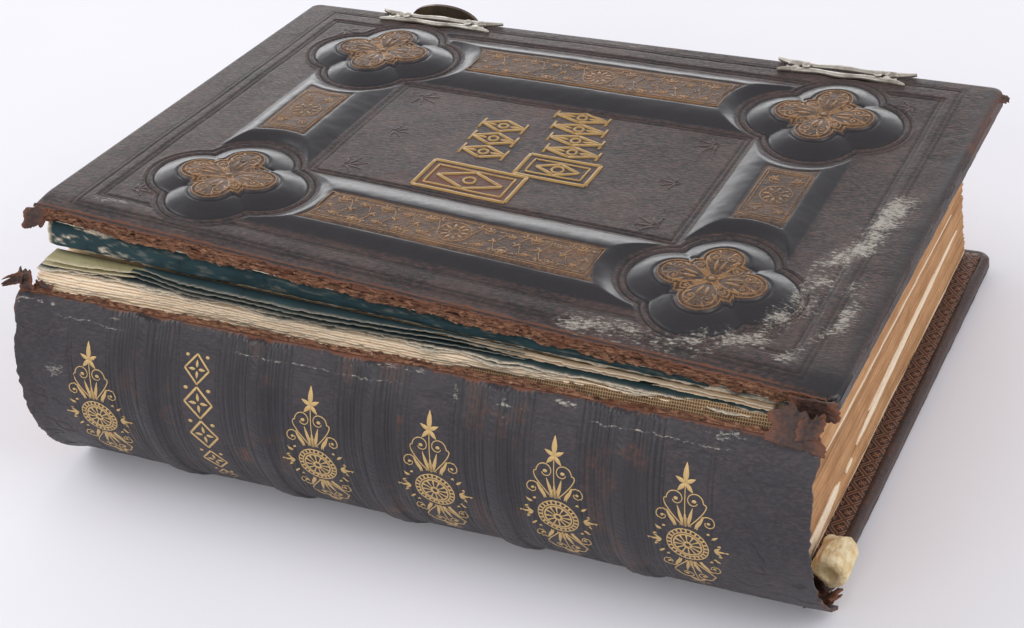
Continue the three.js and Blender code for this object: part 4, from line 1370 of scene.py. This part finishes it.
def level_at(share):
    """Heights at a share of the way from the foot of the loose sections to their top."""
    def height(x, y):
        return blend(lower.under(x, y), upper.over(x, y), share)
    return height


def torn_leaf(heap, x, edge, height, seed, thickness, bright=1.0, depth=5.0):
    """A leaf with a ragged spine edge: edge(x) is how far it comes forward, height(x, y) its level."""
    t = np.array([0, 0.03, 0.1, 0.25, 0.5, 1.0])[None, :]
    front = edge(x) + 0.5 * noise(x / 1.9, 0 * x + seed, seed, 2)
    y = lower.low[1] + front + t * (depth - front)
    outer = stacked(x, y, height(x, y) + 0.3 * noise(x / 24, y / 14 + seed, seed + 1, 3))
    heap.add(outer, outer - np.array([0, 0, thickness]), bright * (1 - smooth(t, 0, 0.3)) + 0 * x)


def torn_back(share, spread):
    """Neighbouring leaves tear alike, in clumps that step back as they rise and towards the tail."""
    def edge(x):
        clump = 2.3 * noise(x / 26, 0 * x + 4.5 * share, 141, 2)
        clump = clump + 1.2 * noise(x / 8, 0 * x + 11 * share, 142, 3)
        head = smooth(-x, 96, 150) * (2.0 + 2.6 * np.round(3 * (1 - share)) / 3)
        tail = smooth(x, 5, 60) * (1.2 + 5.2 * (1 - smooth(share, 0.62, 0.88)))
        return -5.4 + 3.4 * share + spread * clump - head + tail
    return edge


def make_torn_leaves(cream):
    """Cream leaves torn back to different depths, and two that peep out above them towards the tail."""
    heap = Heap()
    count = 14
    for k in range(count):
        share = (k + 0.5) / count
        start = lower.low[0] - 1.5 + 3.5 * noise(np.array([k / 2.0]), np.array([0.3]), 143, 2)[0]
        x = np.linspace(start, lower.high[0] - 4, 320)[:, None]
        spread = 0.6 - 0.35 * smooth(share, 0.4, 0.7)
        torn_leaf(heap, x, torn_back(share, spread), level_at(share), 150 + k, 0.85)
    for k in range(2):
        def peeping(x):
            return 5.9 - 2.0 * smooth(x, 5, 50) + 0.4 * noise_along(x, 15, 170 + k)

        x = np.linspace(5 + 12 * k, lower.high[0] - 7, 240)[:, None]
        torn_leaf(heap, x, peeping, level_at(1.1 + 0.12 * k), 172 + k, 0.5, 0.9, 6.4)
    heap.finish("torn_leaves", cream, "text_block", "cream_paper")


def make_torn_endpaper(teal):
    """Two torn teal leaves on the cream ones, and three half hidden under the fold, partly standing in for
    the shadow in the gap beneath it.
    """
    heap = Heap()
    for k in range(2):
        x = np.linspace(lower.low[0] - 2, lower.high[0] - 6, 320)[:, None]
        torn_leaf(heap, x, torn_back(1.0 + 0.1 * k, 1.3), level_at(1.04 + 0.05 * k), 180 + k, 0.35, 0.8)
    # These three are partly torn teal leaf, partly dark teal sheets that stand in for the shadow under the
    # fold.
    for k in range(3):
        def hidden(x):
            rise = 5.6 * smooth(x, -40, 50) + 0.5 * noise_along(x, 14, 186 + k)
            return 0.4 - 4.4 * smooth(x, -122, -84) + rise

        x = np.linspace(-122 + 6 * k, 50, 240)[:, None]
        torn_leaf(heap, x, hidden, level_at(1.22 + 0.16 * k), 187 + k, 0.35, 0.25, 1.8)
    heap.finish("torn_endpaper_leaf", teal, "text_block", "teal_paper")


def make_torn_olive_leaves(olive):
    """Two olive leaves that show only near the head."""
    heap = Heap()
    for k in range(2):
        def retreat(x):
            return -3.6 + 8.2 * smooth(x, lower.low[0] + 5, -78) + 0.5 * noise_along(x, 20, 190 + k, 2)

        x = np.linspace(lower.low[0] + 2 * k, -72, 200)[:, None]
        torn_leaf(heap, x, retreat, level_at(1.2 + 0.14 * k), 191 + k, 0.5, 0.4)
    heap.finish("torn_olive_leaves", olive, "text_block", "olive_paper")


def make_tail_slips(cream):
    """Leaves torn across at the tail, whose fresh paper shows bright along the edge of the block."""
    tail_face = span("section_1")[1][0]
    heap = Heap()
    slips = (
        (-114, -56, 13.5, 20, 8.6),
        (-49, -41, 19, 20, 2.4),
        (-36, 104, 22.5, 31, 3.6),
        (-20, 70, 27, 31, 1.0),
        (-70, 96, 46, 44, 0.6),
        (-90, 60, 62, 62, 0.5),
    )
    for seed, (y_from, y_to, z_from, z_to, deep) in enumerate(slips, 181):
        y = np.linspace(y_from, y_to, 90)[:, None]
        t = np.linspace(0, 1, 5)[None, :]
        share = (y - y_from) / (y_to - y_from)
        ends = np.clip(12 * np.minimum(share, 1 - share), 0.1, 1)
        width = deep * ends * (1 - 0.45 * share + 0.15 * noise_along(y, 6, seed, 3))
        z = blend(z_from, z_to, share) + width * (t - 0.5)
        outer = stacked(tail_face + 0.25 + 0.15 * noise(y / 7, z, seed + 1, 2), y, z)
        heap.add(outer, outer - np.array([0.9, 0, 0]), np.ones(outer.shape[:2]) * 0.9)
    heap.finish("torn_tail_slips", cream, "text_block", "cream_paper")


def make_scraps():
    torn = bpy.data.materials["torn_board"]
    leather = leather_material("torn_leather", (22, 17, 17), (62, 44, 38))
    make_torn_edges(torn, leather)
    teal, cream, olive = (bpy.data.materials[n] for n in ("teal_endpaper", "cream_leaves", "olive_leaf"))
    make_endpaper_fold(teal)
    make_torn_leaves(cream)
    make_torn_endpaper(teal)
    make_torn_olive_leaves(olive)
    make_tail_slips(cream)


make_scraps()


# ---------------------------------------------------------------- sewing, linings and rolls


def cloth_material(name, light, dark, pitch):
    """Plain open weave: two sets of threads at right angles, browned by old glue."""
    s = Shader(name)
    split = s.nodes.new("ShaderNodeSeparateXYZ")
    s.put(split.inputs[0], s.place)
    threads = []
    for axis in (0, 2):
        wave = s.math("SINE", s.times(split.outputs[axis], 2 * math.pi / pitch))
        threads.append(s.step(wave, -0.2, 0.9))
    weave = s.most(*threads)
    glue = s.noise(6, 4, 0.65)
    base = s.mix(weave, brown(*dark), brown(*light))
    base = s.mix(s.step(glue, 0.5, 0.75, 0, 0.7), base, brown(*dark))
    s.set(Base_Color=base, Roughness=0.95, Normal=s.bump(weave, 0.35, 1.0, s.bump(glue, 0.2)))
    s.set(Specular_IOR_Level=0.15, Sheen_Weight=0.2)
    return s.material


def make_mull():
    """Open cloth glued over the back of the leaves, turned in over their shoulder towards the tail."""
    low, high = span("mull_lining")
    x = np.linspace(low[0], high[0] + 5, 420)[:, None]
    t = np.linspace(0, 1, 90)[None, :]
    radius = spine.axis_y - low[1]
    top_turn = math.asin((high[2] - spine.axis_z) / radius)
    bottom_turn = math.asin((low[2] - spine.axis_z) / radius)
    flare = (1.5 + 8.5 * smooth(x, 0, 45)) * (1 + 0.12 * noise_along(x, 7, 201, 4))
    arc = radius * (top_turn - bottom_turn)
    v = radius * bottom_turn + (arc + flare) * t
    past = np.clip(v - radius * top_turn, 0, None)
    turn = np.minimum(v / radius, top_turn)
    sheets = []
    for inset in (0.3, 0.65):
        reach = radius - inset
        y = spine.axis_y - reach * np.cos(turn) + 0.6 * past
        z = spine.axis_z + reach * np.sin(turn) + 0.8 * past
        sheets.append(stacked(x, y, z + 0.4 * noise_over(x, v, 9, 202, 2) * smooth(past, 0, 3)))
    piece = slab("mull_cloth", *sheets)
    material = cloth_material("mull_weave", (176, 146, 108), (96, 68, 46), 0.95)
    dress(piece, material, "text_block", "mull_lining")


def tube(path, radius, sides):
    """Rings round a path: points along it, and a radius for each point and side."""
    along = np.gradient(path, axis=0)
    along /= np.linalg.norm(along, axis=1, keepdims=True)
    reference = np.array([1.0, 0, 0]) if abs(along[:, 0]).max() < 0.9 else np.array([0, 0, 1.0])
    first = np.cross(along, reference)
    first /= np.linalg.norm(first, axis=1, keepdims=True)
    second = np.cross(along, first)
    turn = np.linspace(0, 2 * math.pi, sides, endpoint=False)
    ring = first[:, None] * np.cos(turn)[None, :, None] + second[:, None] * np.sin(turn)[None, :, None]
    return path[:, None] + ring * radius[..., None]


def make_endband():
    """The head endband: a core wound with thread, bent round the end of the spine."""
    low, high = span("head_endband")
    count = 240
    bend = 45                    # from the spine's axis to the middle of the band
    ends = [math.asin((z - spine.axis_z) / (bend + 1)) for z in (low[2] + 2, high[2] - 2)]
    turn = np.linspace(*ends, count)
    y, z = spine.axis_y - bend * np.cos(turn), spine.axis_z + bend * np.sin(turn)
    path = stacked((low[0] + high[0]) / 2, y, z)
    wound = 1.8 + 0.16 * np.sin(np.linspace(0, 2 * math.pi * 60, count))
    wound *= smooth(np.arange(count), -1, 4) * smooth(-np.arange(count), -count, 5 - count)
    piece = loft("head_endband_wound", tube(path, np.repeat(wound[:, None], 16, 1), 16))
    material = cloth_material("endband_thread", (206, 184, 140), (96, 58, 40), 1.4)
    dress(piece, material, "text_block", "head_endband")


def make_tail_roll():
    """The tail lining, torn loose and rolled up on the back board: a crumpled cream roll."""
    low, high = span("tail_endband")
    centre, reach = (low + high) / 2, (high[2] - low[2]) / 2
    count, sides = 90, 110
    t = np.linspace(0, 1, count)[:, None]
    turn = np.linspace(0, 2 * math.pi, sides, endpoint=False)[None, :]
    profile = np.interp(t, [0, 0.02, 0.07, 0.2, 0.85, 0.95, 1], [0.52, 0.8, 0.96, 1.0, 0.98, 0.88, 0.62])
    round_x, round_y = np.cos(turn), np.sin(turn)
    pleats = 0.12 * noise(1.6 * round_x + 1.2 * t + 9, 1.6 * round_y + 9, 211, 3)
    pleats = pleats + 0.09 * np.abs(noise(3 * round_x + 2 * t, 3 * round_y + 2, 212, 3))
    seam = np.cos(turn - 2.6 * t - 0.6)
    spiral = -0.2 * smooth(seam, 0.8, 0.98)
    radius = reach * 1.08 * profile * (1 + pleats + spiral)
    tailward, spineward = 3.5, 6  # how far the photo shows the roll from the CAD's tail endband
    path = stacked(centre[0] + tailward, low[1] - spineward + (high[1] - low[1] + 1) * t[:, 0], centre[2])
    rings = tube(path, radius, sides)
    dent = np.linspace(0.85, 0.12, 9)

    def sunk(ring, depth):
        """Smaller and smaller copies of an end ring, going into the roll."""
        hub = ring.mean(0)
        return [hub + (ring - hub) * share + np.array([0, depth * (1 - share), 0]) for share in dent]

    ends = sunk(rings[0], 5.5)[::-1], sunk(rings[-1], -5.5)
    piece = loft("rolled_tail_lining", np.concatenate([ends[0], rings, ends[1]]))
    s = Shader("rolled_lining")
    blotch = s.noise(4, 4, 0.6)
    crease = s.noise(2.2, 4, 0.7, (1, 0.5, 1), warp=0.8)
    base = s.mix(s.step(blotch, 0.35, 0.7), brown(238, 222, 184), brown(214, 184, 132))
    base = s.mix(s.step(crease, 0.58, 0.72, 0, 0.5), base, brown(160, 122, 80))
    relief = s.bump(crease, 0.9, 0.9, s.bump(s.noise(0.9, 4, 0.7), 0.2, 0.8))
    s.set(Base_Color=base, Roughness=0.65, Normal=relief, Specular_IOR_Level=0.3)
    dress(piece, s.material, "text_block", "tail_endband")


def make_joint_leather():
    """The leather joint that still holds the back board to the spine."""
    x = np.linspace(back.low[0] + 4, back.high[0] - 3, 300)[:, None]
    t = np.linspace(0, 1, 26)[None, :]
    start = spine.bare(np.array(0.0), spine.bottom + 1.5, -1.2)
    end_y = back.low[1] + 2.0
    y = start[1] + (end_y - start[1]) * t
    z = start[2] + (1.7 - start[2]) * smooth(t, 0, 0.5) + 0.25 * np.sin(math.pi * t)
    z = z + 0.15 * noise(x / 8, t * 3, 221, 3)
    outer = stacked(x, y, z)
    fields = leather_fields(outer[..., 0], 0.3, worn=0.45)
    piece = slab("back_joint_leather", outer, outer - np.array([0, 0, 0.9]), fields)
    piece.data.materials.append(bpy.data.materials["back_leather"])
    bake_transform(piece)


def make_linings_and_rolls():
    make_mull()
    make_endband()
    make_tail_roll()
    make_joint_leather()
    tape = cloth_material("tape_weave", (204, 184, 148), (140, 108, 76), 0.8)
    for i in range(1, 5):
        frame["nodes"][f"sewing_tape_{i}"].data.materials[0] = tape


# ---------------------------------------------------------------- clasp and hinges


def metal_material(name, bright, dull, shine=0.4):
    """Nickel plate gone grey, with dark tarnish in the hollows and fine scratches."""
    s = Shader(name)
    tarnish = s.noise(9, 4, 0.6)
    scratch = s.noise(0.5, 3, 0.6, (0.15, 1, 1))
    base = s.mix(s.step(tarnish, 0.25, 0.8), brown(*bright), brown(*dull))
    base = s.mix(s.step(s.noise(0.8, 3, 0.6), 0.62, 0.8, 0, 0.35), base, brown(70, 58, 46))
    s.set(Base_Color=base, Metallic=0.85, Roughness=s.step(tarnish, 0.3, 0.7, shine, shine + 0.22))
    s.set(Normal=s.bump(scratch, 0.06, 0.7, s.bump(tarnish, 0.15, 0.5)))
    return s.material


def refined(node, material, width=0.25):
    """A copy of a metal part with its edges softened."""
    source = frame["nodes"][node]
    piece = bpy.data.objects.new(f"{node}_softened", source.data.copy())
    bpy.context.scene.collection.objects.link(piece)
    bevel = piece.modifiers.new("soft_edges", "BEVEL")
    bevel.width = width * MM
    bevel.segments = 2
    bevel.limit_method = "ANGLE"
    bevel.angle_limit = math.radians(35)
    bevel.harden_normals = True
    piece.data.materials.clear()
    dress(piece, material, source["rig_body"], node)


def make_clasp_plate(node, material):
    """A fork-ended plate: two rails either side of a dark slot, with swallow-tail prongs."""
    low, high = span(node)
    centre = (low + high) / 2
    half = (high[0] - low[0]) / 2

    def plate_point(x, y, lift):
        place_x, place_y = centre[0] + x, centre[1] + y
        return stacked(place_x, place_y, cover.over(place_x, place_y) + 0.35 + lift)

    tool = Tooling(plate_point, lift=1.35, sunk=0.0)
    for side in (-1, 1):
        x = np.linspace(-half + 9, half - 9, 24)
        waist = 2.7 + 0.5 * np.cos(x / (half - 9) * math.pi * 2)
        tool.stroke(np.column_stack([x, side * waist]), 2.7 + 0.4 * np.cos(x / (half - 9) * math.pi * 3))
        for end in (-1, 1):
            t = np.linspace(0, 1, 14)
            reach = (9.5 if side > 0 else 7.0) + (1.2 if end > 0 else 0)
            path_x = end * (half - 11 + reach * t)
            path_y = side * (2.6 + 2.3 * t**1.6)
            tool.stroke(np.column_stack([path_x, path_y]), 3.2 * (1 - t) ** 0.7 + 0.5)
            barb = np.column_stack([end * (half - 10.5 + 3.4 * t), side * (3.4 - 2.2 * t)])
            tool.stroke(barb, 1.9 * (1 - t) + 0.4)
            tool.line([(end * (half - 12), side * 0.4), (end * (half - 10), side * 3.4)], 3.6)
            tool.dot(end * (half - 14), side * 2.8, 0.9)
    tool.finish(f"{node}_forked", material, "front_board", "nickel", stands_for=node)


def make_metalwork():
    nickel = metal_material("old_nickel", (196, 190, 180), (140, 132, 120))
    # A darker copy for the hinge plates and the clasp arm: partly dull metal, partly painted shade for the
    # arm's inner face, which looks away from the light.
    dark = metal_material("dark_nickel", (120, 108, 92), (70, 60, 50), 0.45)
    for end in ("head", "tail"):
        make_clasp_plate(f"clasp_plate_{end}", nickel)
        refined(f"hinge_plate_{end}", dark)
        refined(f"hinge_pin_{end}", nickel, 0.15)
        for i in (1, 2):
            refined(f"clasp_rivet_{end}_{i}", nickel, 0.15)
    refined("clasp_arm_head", dark, 0.3)


make_linings_and_rolls()
make_metalwork()


# ---------------------------------------------------------------- floor, light and camera


def make_stage():
    """A pale floor just under the book."""
    mesh = bpy.data.meshes.new("floor")
    reach = 4.0
    around = [(x * reach, y * reach, 0) for x, y in ((-1, -1), (1, -1), (1, 1), (-1, 1))]
    mesh.from_pydata(around, [], [(0, 1, 2, 3)])
    floor = bpy.data.objects.new("floor", mesh)
    floor.location.z = -0.0006
    bpy.context.scene.collection.objects.link(floor)
    s = Shader("pale_floor")
    s.set(Base_Color=s.mix(s.noise(180, 2), brown(232, 231, 236), brown(238, 237, 241)), Roughness=0.75)
    mesh.materials.append(s.material)


def softbox(name, place, size, power, aim=(0, 0, 0.05)):
    """A rectangular light that faces a place near the book."""
    light = bpy.data.lights.new(name, "AREA")
    light.shape = "RECTANGLE"
    light.size, light.size_y = size
    light.energy = power
    lamp = bpy.data.objects.new(name, light)
    lamp.location = place
    lamp.rotation_euler = (Vector(aim) - Vector(place)).to_track_quat("-Z", "Y").to_euler()
    bpy.context.scene.collection.objects.link(lamp)


def make_lights():
    """A bright backdrop low behind the book, softboxes on three sides, and a wide pale surround."""
    softbox("backdrop", (-1.2, 2.3, 0.42), (4.2, 0.85), 32, (0, 0, 0.1))
    softbox("softbox_left", (-2.2, -0.5, 1.7), (1.7, 1.7), 26)
    softbox("softbox_right", (2.1, -0.2, 1.7), (1.7, 1.7), 24)
    softbox("softbox_front", (-0.1, -2.4, 1.5), (2.4, 1.0), 18)
    world = bpy.data.worlds.new("studio")
    world.use_nodes = True
    world.node_tree.nodes["Background"].inputs["Color"].default_value = (0.95, 0.95, 1.0, 1)
    world.node_tree.nodes["Background"].inputs["Strength"].default_value = 0.64
    bpy.context.scene.world = world
    bpy.context.scene.view_settings.view_transform = "Standard"


def make_camera():
    """A long lens from above the tail end of the spine, tipped a little anticlockwise."""
    camera = bpy.data.cameras.new("camera")
    camera.lens = 77.5
    camera.sensor_width = 36
    viewer = bpy.data.objects.new("camera", camera)
    # The view's right and backward directions and its place come from the perspective fit to the photo.
    right = Vector((0.9031, 0.4162, -0.1055)).normalized()
    back_axis = Vector((0.3974, -0.7173, 0.5723))
    back_axis = (back_axis - right * back_axis.dot(right)).normalized()
    up = back_axis.cross(right)
    turn = Matrix((right, up, back_axis)).transposed().to_4x4()
    viewer.matrix_world = Matrix.Translation(Vector((0.35615, -0.66398, 0.5565))) @ turn
    bpy.context.scene.collection.objects.link(viewer)
    bpy.context.scene.camera = viewer


make_stage()
make_lights()
make_camera()
